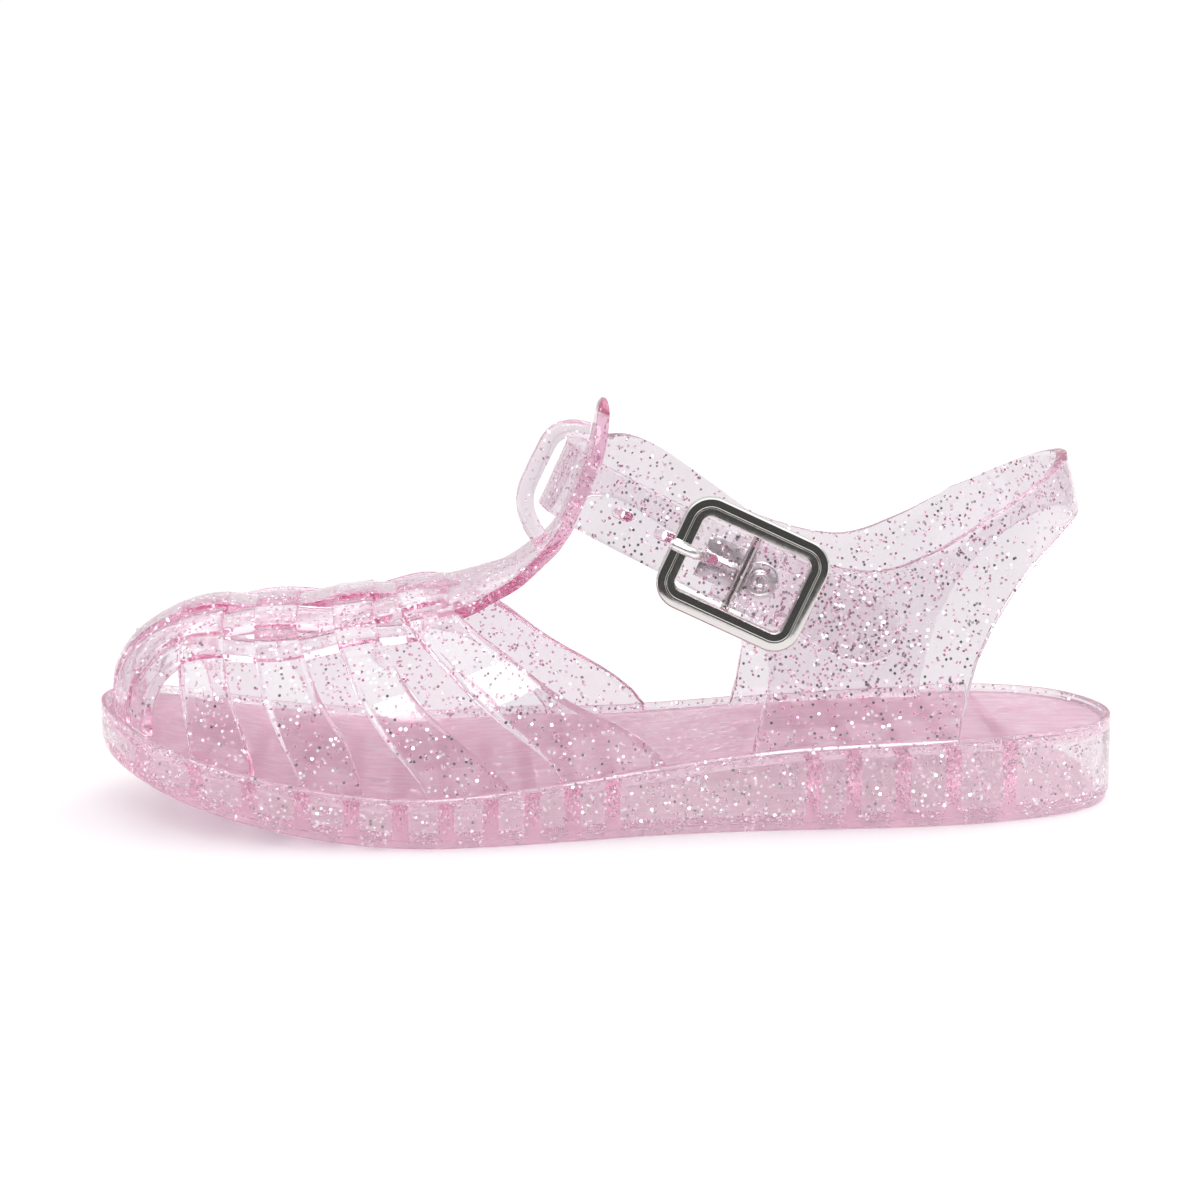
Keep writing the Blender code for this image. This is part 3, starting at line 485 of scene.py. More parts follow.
def add_mesh(name, verts, faces, smooth_angle=32):
    """New mesh object in the scene, smooth but for edges sharper than the angle."""
    mesh = bpy.data.meshes.new(name)
    mesh.from_pydata([tuple(v) for v in verts], [], faces)
    mesh.validate()
    mesh.update()
    mesh.shade_smooth()
    mesh.set_sharp_from_angle(angle=math.radians(smooth_angle))
    obj = bpy.data.objects.new(name, mesh)
    bpy.context.scene.collection.objects.link(obj)
    return obj


def apply_modifiers(obj):
    """Keep what the modifiers make as the object's own mesh."""
    graph = bpy.context.evaluated_depsgraph_get()
    mesh = bpy.data.meshes.new_from_object(obj.evaluated_get(graph))
    old = obj.data
    obj.modifiers.clear()
    obj.data = mesh
    mesh.name = obj.name
    bpy.data.meshes.remove(old)


def soften(obj, width):
    """Round the sharp edges of a closed solid."""
    bevel = obj.modifiers.new("soft_edges", "BEVEL")
    bevel.width = width
    bevel.segments = EDGE_SEGMENTS
    bevel.limit_method = "ANGLE"
    bevel.angle_limit = EDGE_ANGLE
    bevel.use_clamp_overlap = True
    apply_modifiers(obj)


def join_solids(target, tools, operation, smooth_angle=32):
    """Join or cut closed solids, and drop the tools."""
    for tool in tools:
        modifier = target.modifiers.new(tool.name, "BOOLEAN")
        modifier.operation = operation
        modifier.solver = "MANIFOLD"
        modifier.object = tool
    apply_modifiers(target)
    for tool in tools:
        bpy.data.objects.remove(tool, do_unlink=True)
    target.data.shade_smooth()
    target.data.set_sharp_from_angle(angle=math.radians(smooth_angle))


def sheet_solid(name, outer, inner, edge):
    """Closed solid between two grids of the same size, with rounded edges."""
    rows = len(outer)
    cols = len(outer[0])
    verts = [p for line in outer for p in line] + [p for line in inner for p in line]
    under = rows * cols
    faces = []
    for i in range(rows - 1):
        for j in range(cols - 1):
            a = i * cols + j
            b = a + cols
            faces.append((a, a + 1, b + 1, b))
            faces.append((under + a, under + b, under + b + 1, under + a + 1))
    for i in range(rows - 1):
        a = i * cols
        faces.append((a, a + cols, under + a + cols, under + a))
        a += cols - 1
        faces.append((a, under + a, under + a + cols, a + cols))
    for j in range(cols - 1):
        faces.append((j, under + j, under + j + 1, j + 1))
        a = (rows - 1) * cols + j
        faces.append((a, a + 1, under + a + 1, under + a))
    obj = add_mesh(name, verts, faces)
    soften(obj, edge)
    return obj


def ring_solid(name, rings, loop=False, smooth_angle=32, strips=False):
    """Closed solid through rings of the same count: a loop, or capped, in strips where flat."""
    count = len(rings[0])
    verts = [p for ring in rings for p in ring]
    faces = []
    for k in range(len(rings) if loop else len(rings) - 1):
        a = k * count
        b = (k + 1) % len(rings) * count
        for i in range(count):
            j = (i + 1) % count
            faces.append((a + i, a + j, b + j, b + i))
    last = (len(rings) - 1) * count
    caps = [] if loop else [range(count)]
    if strips:
        caps = [(i, i + 1, (count - i - 1) % count, (count - i) % count) for i in range(count // 2)]
    for cap in caps:
        faces.append(tuple(dict.fromkeys(reversed(cap))))
        faces.append(tuple(dict.fromkeys(last + corner for corner in cap)))
    return add_mesh(name, verts, faces, smooth_angle)


def round_section(count=24, power=2.0):
    """Closed section of unit half width: a circle, or squarer with a higher power."""
    section = []
    for i in range(count):
        turn = math.tau * (i + 0.5) / count
        c = math.cos(turn)
        s = math.sin(turn)
        section.append(tuple(math.copysign(abs(v)**(2 / power), v) for v in (c, s)))
    return section


def sweep(path, side, wide, thick, section=None):
    """Rings of a section along a path: wide across it along a direction, thick the other way."""
    section = section or round_section()
    rings = []
    for k, p in enumerate(path):
        ahead = path[min(k + 1, len(path) - 1)] - path[max(k - 1, 0)]
        out = side.cross(ahead).normalized()
        rings.append([p + out * (c * thick / 2) + side * (s * wide / 2) for c, s in section])
    return rings


def rounded_end(ring, end, before):
    """Smaller and smaller rings beyond the last ring of a rod, so that its end is round."""
    out = (end - before).normalized() * (ring[0] - end).length
    turns = [math.radians(turn) for turn in (30, 55, 75)]
    return [[end + (p - end) * math.cos(turn) + out * math.sin(turn) for p in ring]
            for turn in turns]


# Steps of the fine shapes
OUTLINE_STEPS = 9
STRAP_ROWS = 26
STRAP_CROWDING = 1.15
STRAP_CELLS = 8
STRIP_TOE_ROWS = 22
STRIP_CROWDING = 1.1
STRIP_BACK_ROWS = 40
TBAR_STEPS = 6
TBAR_CELLS = 16
ANKLE_STEPS = 8
TAIL_STEPS = 60
QUARTER_STEPS = 3
WALL_CELLS = 14
LOOP_SIDES = 28
LOOP_POWER = 3.2
ROOT_HALVINGS = 40
EDGE_ROUND = 0.00035
EDGE_SEGMENTS = 2
EDGE_ANGLE = math.radians(50)

# How far the feet of the upper stop above the footbed
FOOT_CLEAR = 0.00004

# Hollows of the sole, and the insets of its edge
CAVITY_WALL = 0.0019
CAVITY_POINTS = 14
CAVITY_FLOOR = 0.0026
RIM_ROUND = 0.0005
UNDER_INSET = 0.0012


def cavity(name, low, high, lines):
    """Hollow of the sole between two ribs, from the tread up to the footbed."""
    toe_end = max(line[0, 0] for line in lines)
    heel_end = min(line[-1, 0] for line in lines)
    low = max(low, toe_end)
    high = min(high, heel_end)
    steps = np.linspace(0, 1, CAVITY_POINTS)
    if low == toe_end:
        steps = steps**2
    if high == heel_end:
        steps = 1 - (1 - steps)**2
    across = low + (high - low) * steps
    lateral, medial = ([(x, float(np.interp(x, line[:, 0], line[:, 1]))) for x in across]
                       for line in lines)
    plan = lateral + medial[::-1]
    return ring_solid(name, [[Vector((x, y, bottom_z(x) + CAVITY_FLOOR)) for x, y in plan],
                             [Vector((x, y, footbed_z(x) - FOOTBED)) for x, y in plan]])


def sole_profile():
    """Edge of the sole from underneath over the rim: inset, height it goes by, and rise over it."""
    turns = [math.radians(turn) for turn in (0, 30, 60, 90)]
    profile = [(UNDER_INSET, bottom_z, 0.0)]
    for turn in turns:
        profile.append((TREAD_INSET + RIM_ROUND * (1 - math.sin(turn)), bottom_z,
                        RIM_ROUND * (1 - math.cos(turn))))
    profile.append((TREAD_INSET, bottom_z, TREAD))
    profile.append((0.0, bottom_z, TREAD + TREAD_INSET))
    for turn in turns:
        profile.append((RIM_ROUND * (1 - math.cos(turn)), rim_z,
                        -RIM_ROUND * (1 - math.sin(turn))))
    profile.append((LIP_WIDTH - LIP_ROUND, rim_z, 0.0))
    profile.append((LIP_WIDTH, rim_z, -LIP_ROUND))
    profile.append((LIP_WIDTH, footbed_z, LIP_ROUND))
    profile.append((LIP_WIDTH + LIP_ROUND, footbed_z, 0.0))
    return profile


def make_sole():
    """Sole with its rounded rim and tread edge, footbed, ribs and hollows, in one body."""
    outline = plan_curve(OUTLINE_STEPS)
    rings = []
    for inset, height, rise in sole_profile():
        curve = inset_curve(outline, inset)
        rings.append([Vector((x, y, height(x) + rise)) for x, y in reversed(curve)])
    sole = ring_solid("moulded_sole", rings, strips=True)
    lines = side_lines(inset_curve(plan_curve(FOOT_STEPS), CAVITY_WALL))
    edges = [place(-0.1)]
    for share in RIBS:
        edges += [place(share) - RIB_WIDTH / 2, place(share) + RIB_WIDTH / 2]
    edges.append(place(1.1))
    hollows = [cavity("hollow_%d" % index, edges[index], edges[index + 1], lines)
               for index in range(0, len(edges), 2)]
    join_solids(sole, hollows, "DIFFERENCE")
    return sole


def foot_rows(line):
    """Rows under the foot line of a strap, down to just above the footbed."""
    drop = LIP_HEIGHT - FOOT_CLEAR
    return [[Vector((p.x, p.y, rim_z(p.x) - drop * part)) for p in line] for part in (1.0, 0.5)]


def upright_feet(normals):
    """Level directions for the first three rows of a strap, so that its foot stands upright."""
    normals[:3] = [[Vector((n.x, n.y, 0)).normalized() for n in normals[2]]] * 3


def strap_edge(row, angle):
    """X of an edge of a cross strap at an angle up its section."""
    return place(read(tuple(zip(STRAP_ANGLES, row)), angle, 1))


def strap_centre(index):
    front, rear = CROSS_STRAPS[index]
    return (front[-1] + rear[-1]) / 2


def strip_middle(first, second):
    """Middle of a lengthwise strip at the widest part, as a share of the ball width."""
    row = STRIPS[5]
    return (row[first] + row[second]) / 2


def cross_strap(index):
    """One strap over the foot, from the lateral to the medial foot line."""
    front, rear = CROSS_STRAPS[index]
    over = 1 if index % 2 == 0 else -1
    weave = (
        (0.0, -over),
        (strip_middle(2, 3) * BALL_WIDTH, over),
        (strip_middle(4, 5) * BALL_WIDTH, -over),
        (STRIPS[5][5] * BALL_WIDTH + 2 * STRAP_WALL, 0),
    )
    climb = [90 * (k / STRAP_ROWS)**STRAP_CROWDING for k in range(STRAP_ROWS)]
    angles = [(a, -1) for a in climb] + [(90, 1)] + [(a, 1) for a in reversed(climb)]
    grid = []
    for angle, side in angles:
        spread = math.cos(math.radians(angle)) ** (2 / DOME_POWER) if angle < 90 else 0.0
        x_front = strap_edge(front, angle)
        x_rear = strap_edge(rear, angle)
        line = []
        for j in range(STRAP_CELLS + 1):
            x = x_front + (x_rear - x_front) * j / STRAP_CELLS
            line.append(dome(x, side * foot_width(x, side) * spread))
        grid.append(line)
    grid = foot_rows(grid[0]) + grid + foot_rows(grid[-1])[::-1]
    normals = grid_normals(grid)
    for _ in range(2):
        upright_feet(normals)
        normals.reverse()
    lifted = moved_grid(grid, normals, lambda i, j: WEAVE_LIFT * ease(weave, abs(grid[i][j].y)))
    inner = moved_grid(lifted, normals, -STRAP_WALL)
    return sheet_solid("strap_%d" % (index + 1), lifted, inner, EDGE_ROUND)


def edge_y(column, x):
    """Place across of an edge of a strip, which is a column of STRIPS with the side's sign."""
    return BALL_WIDTH * read(STRIPS, share_of(x), abs(column)) * (1 if column > 0 else -1)


def dome_inside(x, side):
    """Half width of the foot line, which is nothing in front of the toe."""
    if x <= max(LATERAL_FOOT[0, 0], MEDIAL_FOOT[0, 0]):
        return 0.0
    return foot_width(x, side)


def root_x(column):
    """Place at the toe where an edge of a strip meets the foot line."""
    side = -1 if column < 0 else 1
    low = place(0.0) + FOOT_INSET
    high = DOME_X
    for _ in range(ROOT_HALVINGS):
        middle = (low + high) / 2
        if abs(edge_y(column, middle)) < dome_inside(middle, side):
            high = middle
        else:
            low = middle
    return high


def strip(name, first, second, cells, end, over):
    """One lengthwise strip from the toe's foot line back, its first edge on the medial side."""
    weave = [(WEAVE_START, 0.0)]
    for index in range(len(CROSS_STRAPS)):
        weave.append((strap_centre(index), over * (1 if index % 2 == 0 else -1)))
    weave.append((CENTRE_END, STRIP_SINK))
    roots = (root_x(first), root_x(second))
    grid = []
    for k in range(STRIP_TOE_ROWS + STRIP_BACK_ROWS + 1):
        line = []
        for j in range(cells + 1):
            t = j / cells
            root = roots[0] + (roots[1] - roots[0]) * t
            if k < STRIP_TOE_ROWS:
                angle = math.radians(90 * (k / STRIP_TOE_ROWS)**STRIP_CROWDING)
                x = root + (DOME_X - root) * (1 - math.cos(angle) ** (2 / DOME_POWER))
            else:
                x = DOME_X + (place(end) - DOME_X) * (k - STRIP_TOE_ROWS) / STRIP_BACK_ROWS
            y = edge_y(first, x) + (edge_y(second, x) - edge_y(first, x)) * t
            if k == 0 and abs(y) > FREE_MIDDLE:
                side = -1 if y < 0 else 1
                y = side * min(abs(y), dome_inside(x, side))
            line.append(dome(x, y))
        grid.append(line)
    grid[0] = [Vector((p.x, p.y, rim_z(p.x))) for p in grid[0]]
    grid = foot_rows(grid[0]) + grid
    normals = grid_normals(grid)
    upright_feet(normals)
    lifted = moved_grid(grid, normals,
                        lambda i, j: WEAVE_LIFT * ease(weave, share_of(grid[i][j].x)))
    inner = moved_grid(lifted, normals, -STRIP_WALL)
    return sheet_solid(name, lifted, inner, EDGE_ROUND)


# Directions of the ankle strap: back along it, up across it, and its nose
BACK = Vector((math.cos(ANKLE_SLOPE), 0, -math.sin(ANKLE_SLOPE)))
UP = Vector((math.sin(ANKLE_SLOPE), 0, math.cos(ANKLE_SLOPE)))
NOSE = Vector((place(NOSE_ALONG), 0, NOSE_HEIGHT))
HALF = ANKLE_WIDTH / 2
TIP_TURNS = (90, 76, 62, 50, 38, 27, 16, 8)
TIP_SHARE = 0.12
TIP_ROWS = 7
TIP_THIN = 0.62
NOSE_END = 0.42


def instep_bar():
    """Instep bar on the ridge and the tongue that stands up behind the ankle strap."""
    rows = []
    for along, half, crown in INSTEP_BAR:
        top = dome(place(along), 0.0)
        rows.append((top.x, top.z - TBAR_SINK, half * BALL_WIDTH, crown / BALL_WIDTH))
    for behind, up, half in TONGUE:
        p = NOSE + BACK * (behind * HALF) + UP * (up * HALF)
        rows.append((p.x, p.z, half * BALL_WIDTH, TONGUE_CROWN / BALL_WIDTH))
    path = smooth_path(rows, TBAR_STEPS)
    grid = []
    for k, (x, z, half, crown) in enumerate(path):
        ahead = path[min(k + 1, len(path) - 1)] - path[max(k - 1, 0)]
        slope = Vector((ahead.x, 0, ahead.y)).normalized()
        inwards = Vector((slope.z, 0, -slope.x))
        line = []
        for j in range(TBAR_CELLS + 1):
            y = half * (1 - 2 * j / TBAR_CELLS)
            line.append(Vector((x, y, z)) + inwards * (crown * y * y))
        grid.append(line)
    inner = moved_grid(grid, grid_normals(grid), -TBAR_WALL)
    for k in range(len(grid) - TIP_ROWS, len(grid)):
        thinner = TIP_THIN * ((k - len(grid) + TIP_ROWS + 1) / TIP_ROWS) ** 2 / 2
        for j, (a, b) in enumerate(zip(grid[k], inner[k])):
            grid[k][j] = a.lerp(b, thinner)
            inner[k][j] = b.lerp(a, thinner)
    return sheet_solid("vamp", grid, inner, EDGE_ROUND)


def strap_loop():
    """Loop in front of the tongue that the ankle strap runs through."""
    reach = LOOP_BAR / 2 + LOOP_CLEARANCE
    points = [NOSE - BACK * (before * reach) + UP * (up * HALF) for before, up in LOOP]
    path = smooth_path(points, TBAR_STEPS)
    section = round_section(LOOP_SIDES, LOOP_POWER)
    return ring_solid("strap_loop", sweep(path, Vector((0, 1, 0)), LOOP_DEPTH, LOOP_BAR, section))


# The five strips: edges as columns of STRIPS, negative on the lateral side
STRIP_EDGES = (
    # name, medial edge, lateral edge, cells across, end, over or under the first strap
    ("centre_strip", 1, -1, 10, CENTRE_END, 1),
    ("middle_strip_lateral", -2, -3, 7, CENTRE_END, -1),
    ("middle_strip_medial", 3, 2, 7, CENTRE_END, -1),
    ("side_strip_lateral", -4, -5, 5, SIDE_END, 1),
    ("side_strip_medial", 5, 4, 5, SIDE_END, 1),
)


def make_vamp():
    """Woven toe cage with its instep bar, tongue and loop, moulded as one."""
    vamp = instep_bar()
    straps = [cross_strap(index) for index in range(len(CROSS_STRAPS))]
    strips = [strip(*row) for row in STRIP_EDGES]
    join_solids(vamp, straps + strips + [strap_loop()], "UNION")
    vamp.name = "woven_vamp"
    return vamp


def heel_back_x(z):
    return place(read(HEEL_BACK, z / COLLAR_BACK, 1))


def wall_width(x, z, side):
    """Half width of the quarter's outer face at a place and height."""
    heel_x = place(HEEL_START)
    here = min(x, heel_x)
    foot = foot_width(here, side)
    upright = rim_z(here) + WALL_EASE * (COLLAR_LOW - rim_z(here))
    width = ease(((rim_z(here), foot), (upright, COLLAR_HALF_WIDTH)), z)
    if x <= heel_x:
        return width
    round_share = min((x - heel_x) / (heel_back_x(z) - heel_x), 1.0)
    return width * math.sqrt(1 - round_share**HEEL_POWER)


def heel_point(turn, z, side):
    """Outer face of the heel band at an angle round the heel."""
    heel_x = place(HEEL_START)
    share = math.sin(math.radians(turn)) ** (2 / HEEL_POWER)
    x = heel_x + (heel_back_x(z) - heel_x) * share
    width = wall_width(heel_x, z, side) * math.cos(math.radians(turn))
    return Vector((x, side * width, z))


def between(low, high):
    """Even steps from one value to the other, one for each edge of a wall's cells."""
    return [low + (high - low) * k / WALL_CELLS for k in range(WALL_CELLS + 1)]


def quarter_column(row, side):
    """Points up one column of the quarter, from its foot to the collar."""
    foot_along, foot_rise, top_along, top_height = row
    foot_x = place(foot_along)
    foot_low = footbed_z(foot_x) + FOOT_CLEAR
    foot_z = foot_low + max(foot_rise, 0.0) * (COLLAR_LOW - foot_low)
    along = between(foot_x, place(top_along))
    up = between(foot_z, top_height * COLLAR_LOW)
    return [Vector((x, side * wall_width(x, z, side), z)) for x, z in zip(along, up)]


def heel_column(row, side):
    turn, low, high = row
    return [heel_point(turn, z, side) for z in between(low * COLLAR_BACK, high * COLLAR_BACK)]


def ankle_plan(steps):
    """Half plan of the ankle strap's outer face, from its nose: (behind it, half width)."""
    mirrored = (ANKLE_PLAN[1][0], -ANKLE_PLAN[1][1])
    rows = (mirrored,) + ANKLE_PLAN
    points = [(a * BUCKLE_SEAT, b * COLLAR_HALF_WIDTH, 0) for a, b in rows]
    return smooth_path(points, steps)[steps:]


PLAN = ankle_plan(ANKLE_STEPS)
PLAN_BEHIND = [p.x for p in PLAN]
PLAN_WIDTH = [p.y for p in PLAN]
MERGE = PLAN_BEHIND[-1]


def strap_point(behind, up, side, off=0.0):
    """Point of the ankle strap's outer face, or off it, behind its nose and up its width."""
    p = NOSE + BACK * behind + UP * up
    if side > 0:
        p += UP * (INNER_RISE * read(RISE_PLAN, behind / BUCKLE_SEAT, 1))
    if behind <= MERGE:
        width = float(np.interp(behind, PLAN_BEHIND, PLAN_WIDTH))
    else:
        width = wall_width(p.x, p.z, side)
    return Vector((p.x, side * (width + off), p.z))


def strap_column(behind, side, off=0.0, share=1.0):
    return [strap_point(behind, up, side, off) for up in between(-share * HALF, share * HALF)]


def stand_off(behind):
    """How far the outer ply stands off the inner ply."""
    return ANKLE_WALL * read(OUTER_PLY, (behind - BUCKLE_SEAT) / FRAME_LENGTH, 1)


def outer_column(behind, share=1.0):
    return strap_column(behind, -1, stand_off(behind), share)


def outer_ply():
    """Columns of the ankle strap from its free round end, through the buckle, to the nose."""
    straight = BUCKLE_SEAT + TAIL_LENGTH - HALF
    columns = []
    for turn in TIP_TURNS:
        share = max(math.cos(math.radians(turn)), TIP_SHARE)
        columns.append(outer_column(straight + HALF * math.sin(math.radians(turn)), share))
    nose = [behind for behind in PLAN_BEHIND if behind <= NOSE_END * BUCKLE_SEAT]
    for k in range(TAIL_STEPS):
        columns.append(outer_column(straight + (nose[-1] - straight) * k / TAIL_STEPS))
    return columns + [outer_column(behind) for behind in reversed(nose[1:])]


def finer(table, steps):
    """The same table with more rows: the foot runs straight between rows, the top smoothly."""
    tops = smooth_path([row[-2:] for row in table], steps)
    rows = []
    for k, top in enumerate(tops):
        low = min(k // steps, len(table) - 2)
        share = k / steps - low
        foot = [a + (b - a) * share for a, b in zip(table[low][:-2], table[low + 1][:-2])]
        rows.append(tuple(foot) + (top.x, top.y))
    return rows


def strap_hole(index):
    """Slanted pin that cuts one hole of the strap, counted from the buckle."""
    behind = BUCKLE_SEAT - HOLE_PITCH * (index + 1)
    centre = strap_point(behind, 0, -1, stand_off(behind))
    along = strap_point(behind + GAP, 0, -1, stand_off(behind + GAP)) - centre
    slant = along.cross(UP).normalized() - along.normalized() * HOLE_SLANT
    through = slant.normalized() * (2 * ANKLE_WALL)
    path = [centre - through, centre + through]
    return ring_solid("strap_hole_%d" % (index + 1),
                      sweep(path, UP, HOLE_DIAMETER, HOLE_DIAMETER))


def make_heel():
    """Heel band, both quarters and the ankle strap as one wall, with the holes in the strap."""
    strap = PLAN_BEHIND[:-1]
    stub = [behind for behind in strap if behind > BUCKLE_SEAT - STUB_LENGTH * STUB_OVERLAP]
    quarter = finer(QUARTER, QUARTER_STEPS)
    band = smooth_path(HEEL_BAND, QUARTER_STEPS)
    columns = outer_ply()
    columns += [strap_column(behind, 1) for behind in strap]
    columns += [quarter_column(row, 1) for row in quarter]
    columns += [heel_column(row, 1) for row in band]
    columns += [heel_column(row, -1) for row in reversed(band[:-1])]
    columns += [quarter_column(row, -1) for row in reversed(quarter)]
    columns += [strap_column(behind, -1) for behind in reversed(stub)]
    columns.append(strap_column(BUCKLE_SEAT - STUB_LENGTH, -1))
    inner = moved_grid(columns, grid_normals(columns), -ANKLE_WALL)
    heel = sheet_solid("moulded_heel_and_ankle_strap", columns, inner, EDGE_ROUND)
    wide = PRONG_DIAMETER + 2 * GAP
    cutters = [strap_hole(index) for index in range(HOLE_COUNT)]
    cutters.append(ring_solid("prong_way", sweep(buckle_path(PRONG), UP, wide, wide)))
    join_solids(heel, cutters, "DIFFERENCE")
    return heel


# Place of the buckle: its middle on the inner ply, along the strap, and out of it
SEAT = strap_point(BUCKLE_SEAT, 0, -1)
ALONG = (strap_point(BUCKLE_SEAT + GAP, 0, -1) - strap_point(BUCKLE_SEAT - GAP, 0, -1)).normalized()
OUT = ALONG.cross(UP)


def buckle_point(along, across, out):
    return SEAT + ALONG * along + UP * across + OUT * out


def buckle_path(table):
    """Path of the prong or its clip, from a table in prong diameters."""
    return [buckle_point(a * PRONG_DIAMETER, 0, h * PRONG_DIAMETER) for a, h in table]


# Section of the buckle's frame: out from its middle line in half widths, up in thicknesses
FRAME_SECTION = (
    (-1.00, 0.00), (-1.00, 0.74), (-0.985, 0.81), (-0.955, 0.86), (-0.91, 0.88), (-0.88, 0.89),
    (-0.84, 0.94), (-0.60, 0.955), (-0.36, 0.965), (-0.13, 0.970), (-0.08, 1.00), (0.05, 1.00),
    (0.10, 0.970), (0.36, 0.962), (0.62, 0.948), (0.82, 0.93), (0.90, 0.89), (0.96, 0.84),
    (0.99, 0.78), (1.00, 0.70), (1.00, 0.00), (0.90, -0.04), (-0.90, -0.04),
)
FRAME_CORNER_STEPS = 12
FRAME_SHARP = 16


def make_buckle_frame():
    """Rounded frame of the buckle, with its flange, crowned face and centre bar."""
    radius = FRAME_CORNER - FRAME_BAR / 2
    long_side = (FRAME_LENGTH - FRAME_BAR) / 2 - radius
    short_side = (FRAME_WIDTH - FRAME_BAR) / 2 - radius
    rings = []
    for quarter, (sx, sy) in enumerate(((1, 1), (-1, 1), (-1, -1), (1, -1))):
        for step in range(FRAME_CORNER_STEPS + 1):
            angle = math.radians(90 * (quarter + step / FRAME_CORNER_STEPS))
            ring = []
            for out, up in FRAME_SECTION:
                reach = radius + out * FRAME_BAR / 2
                ring.append(buckle_point(sx * long_side + math.cos(angle) * reach,
                                         sy * short_side + math.sin(angle) * reach,
                                         FRAME_LIFT + max(up, 0) * FRAME_THICKNESS))
            rings.append(ring)
    frame_body = ring_solid("buckle_frame_ring", rings, loop=True, smooth_angle=FRAME_SHARP)
    bar = smooth_path([buckle_point(0, a * FRAME_WIDTH, h * BAR_DIAMETER) for a, h in CENTRE_BAR], 3)
    rod = ring_solid("buckle_bar", sweep(bar, ALONG, BAR_DIAMETER, BAR_DIAMETER))
    join_solids(frame_body, [rod], "UNION", FRAME_SHARP)
    return frame_body


def make_prong():
    """Prong of the buckle, with the clip that wraps under the centre bar."""
    path = smooth_path(buckle_path(PRONG), 6)
    rings = sweep(path, UP, PRONG_DIAMETER, PRONG_DIAMETER)
    rings = (rounded_end(rings[0], path[0], path[1])[::-1] + rings
             + rounded_end(rings[-1], path[-1], path[-2]))
    prong = ring_solid("buckle_prong_rod", rings, smooth_angle=50)
    line = smooth_path(buckle_path(CLIP), 4)
    outer = []
    inner = []
    for k, p in enumerate(line):
        ahead = line[min(k + 1, len(line) - 1)] - line[max(k - 1, 0)]
        out = ahead.cross(UP).normalized() * (PRONG_PLATE_THICKNESS / 2)
        across = UP * (PRONG_PLATE_WIDTH / 2)
        outer.append([p + out - across, p + out + across])
        inner.append([p - out - across, p - out + across])
    clip = sheet_solid("buckle_clip", outer, inner, PRONG_PLATE_THICKNESS / 4)
    join_solids(prong, [clip], "UNION", 40)
    return prong


# Section of the rivet: radius in rivet radii, height in rivet thicknesses
RIVET_SECTION = (
    (0.96, 0.00), (1.00, 0.25), (0.99, 0.70), (0.93, 0.98), (0.84, 1.00), (0.78, 0.72),
    (0.55, 0.70), (0.47, 0.95), (0.44, 2.20), (0.40, 2.90), (0.34, 3.10), (0.27, 2.90),
    (0.23, 2.20), (0.21, 0.60),
)
RIVET_SIDES = 48


def make_rivet():
    """Rivet beside the centre bar: a disc with a rolled rim and the rolled mouth of its tube."""
    rings = []
    for reach, up in RIVET_SECTION:
        ring = []
        for i in range(RIVET_SIDES):
            turn = math.tau * i / RIVET_SIDES
            ring.append(buckle_point(RIVET_OFFSET + math.cos(turn) * reach * RIVET_DIAMETER / 2,
                                     math.sin(turn) * reach * RIVET_DIAMETER / 2,
                                     RIVET_LIFT + up * RIVET_THICKNESS))
        rings.append(ring)
    return ring_solid("buckle_rivet_head", rings, smooth_angle=60)


# Looks

def node_material(name):
    """New material with an empty node tree."""
    mat = bpy.data.materials.new(name)
    mat.use_nodes = True
    mat.node_tree.nodes.clear()
    return mat, mat.node_tree


def plug(tree, socket, value):
    """Set an input, or link it where the value is a socket."""
    if isinstance(value, bpy.types.NodeSocket):
        tree.links.new(value, socket)
    elif socket.type == "RGBA":
        socket.default_value = (*value, 1.0)
    else:
        socket.default_value = value


def add_node(tree, kind, *first, settings=None, **named):
    """A node with its first inputs and some named ones set or linked."""
    node = tree.nodes.new("ShaderNode" + kind)
    for key, value in (settings or {}).items():
        setattr(node, key, value)
    for socket, value in zip(node.inputs, first):
        plug(tree, socket, value)
    for key, value in named.items():
        plug(tree, node.inputs[key.replace("_", " ")], value)
    return node


def maths(tree, operation, *values):
    return add_node(tree, "Math", *values, settings={"operation": operation}).outputs[0]


def fitted(tree, value, low, high, start=0.0, end=1.0, curve="LINEAR"):
    """A value that runs from start to end while the input runs from low to high."""
    return add_node(tree, "MapRange", settings={"interpolation_type": curve}, Value=value,
                    From_Min=low, From_Max=high, To_Min=start, To_Max=end).outputs["Result"]


def mixed_colour(tree, factor, first, second):
    """Colour between two, each a socket or plain red, green and blue."""
    node = add_node(tree, "Mix", factor, settings={"data_type": "RGBA"})
    for socket, colour in zip(node.inputs[6:8], (first, second)):
        plug(tree, socket, colour)
    return node.outputs[2]


# Plastic: its colours, with a darker pink painted as shade on the sole's faces that look up, how
# much it absorbs, its ripples, and the grain of the faces that look up
UPPER_TINT = (0.955, 0.957, 0.963)
SOLE_TINT = (1.0, 0.985, 0.99)
FOOTBED_PAINTED_SHADE_TINT = (0.81, 0.49, 0.62)
SHADOW_TINT = (0.965, 0.94, 0.952)
PLASTIC_ABSORB = (0.94, 0.08, 0.50)
UPPER_DENSITY = 34.0
SOLE_DENSITY = 15.5
RIPPLE_SCALE = 260.0
RIPPLE_HEIGHT = 0.0002
GRAIN_SCALE = (180.0, 1500.0, 1500.0)
GRAIN_STREAKS = (0.3, 0.7, 0.30, 1.45)
UP_FACING = (0.6, 0.9)


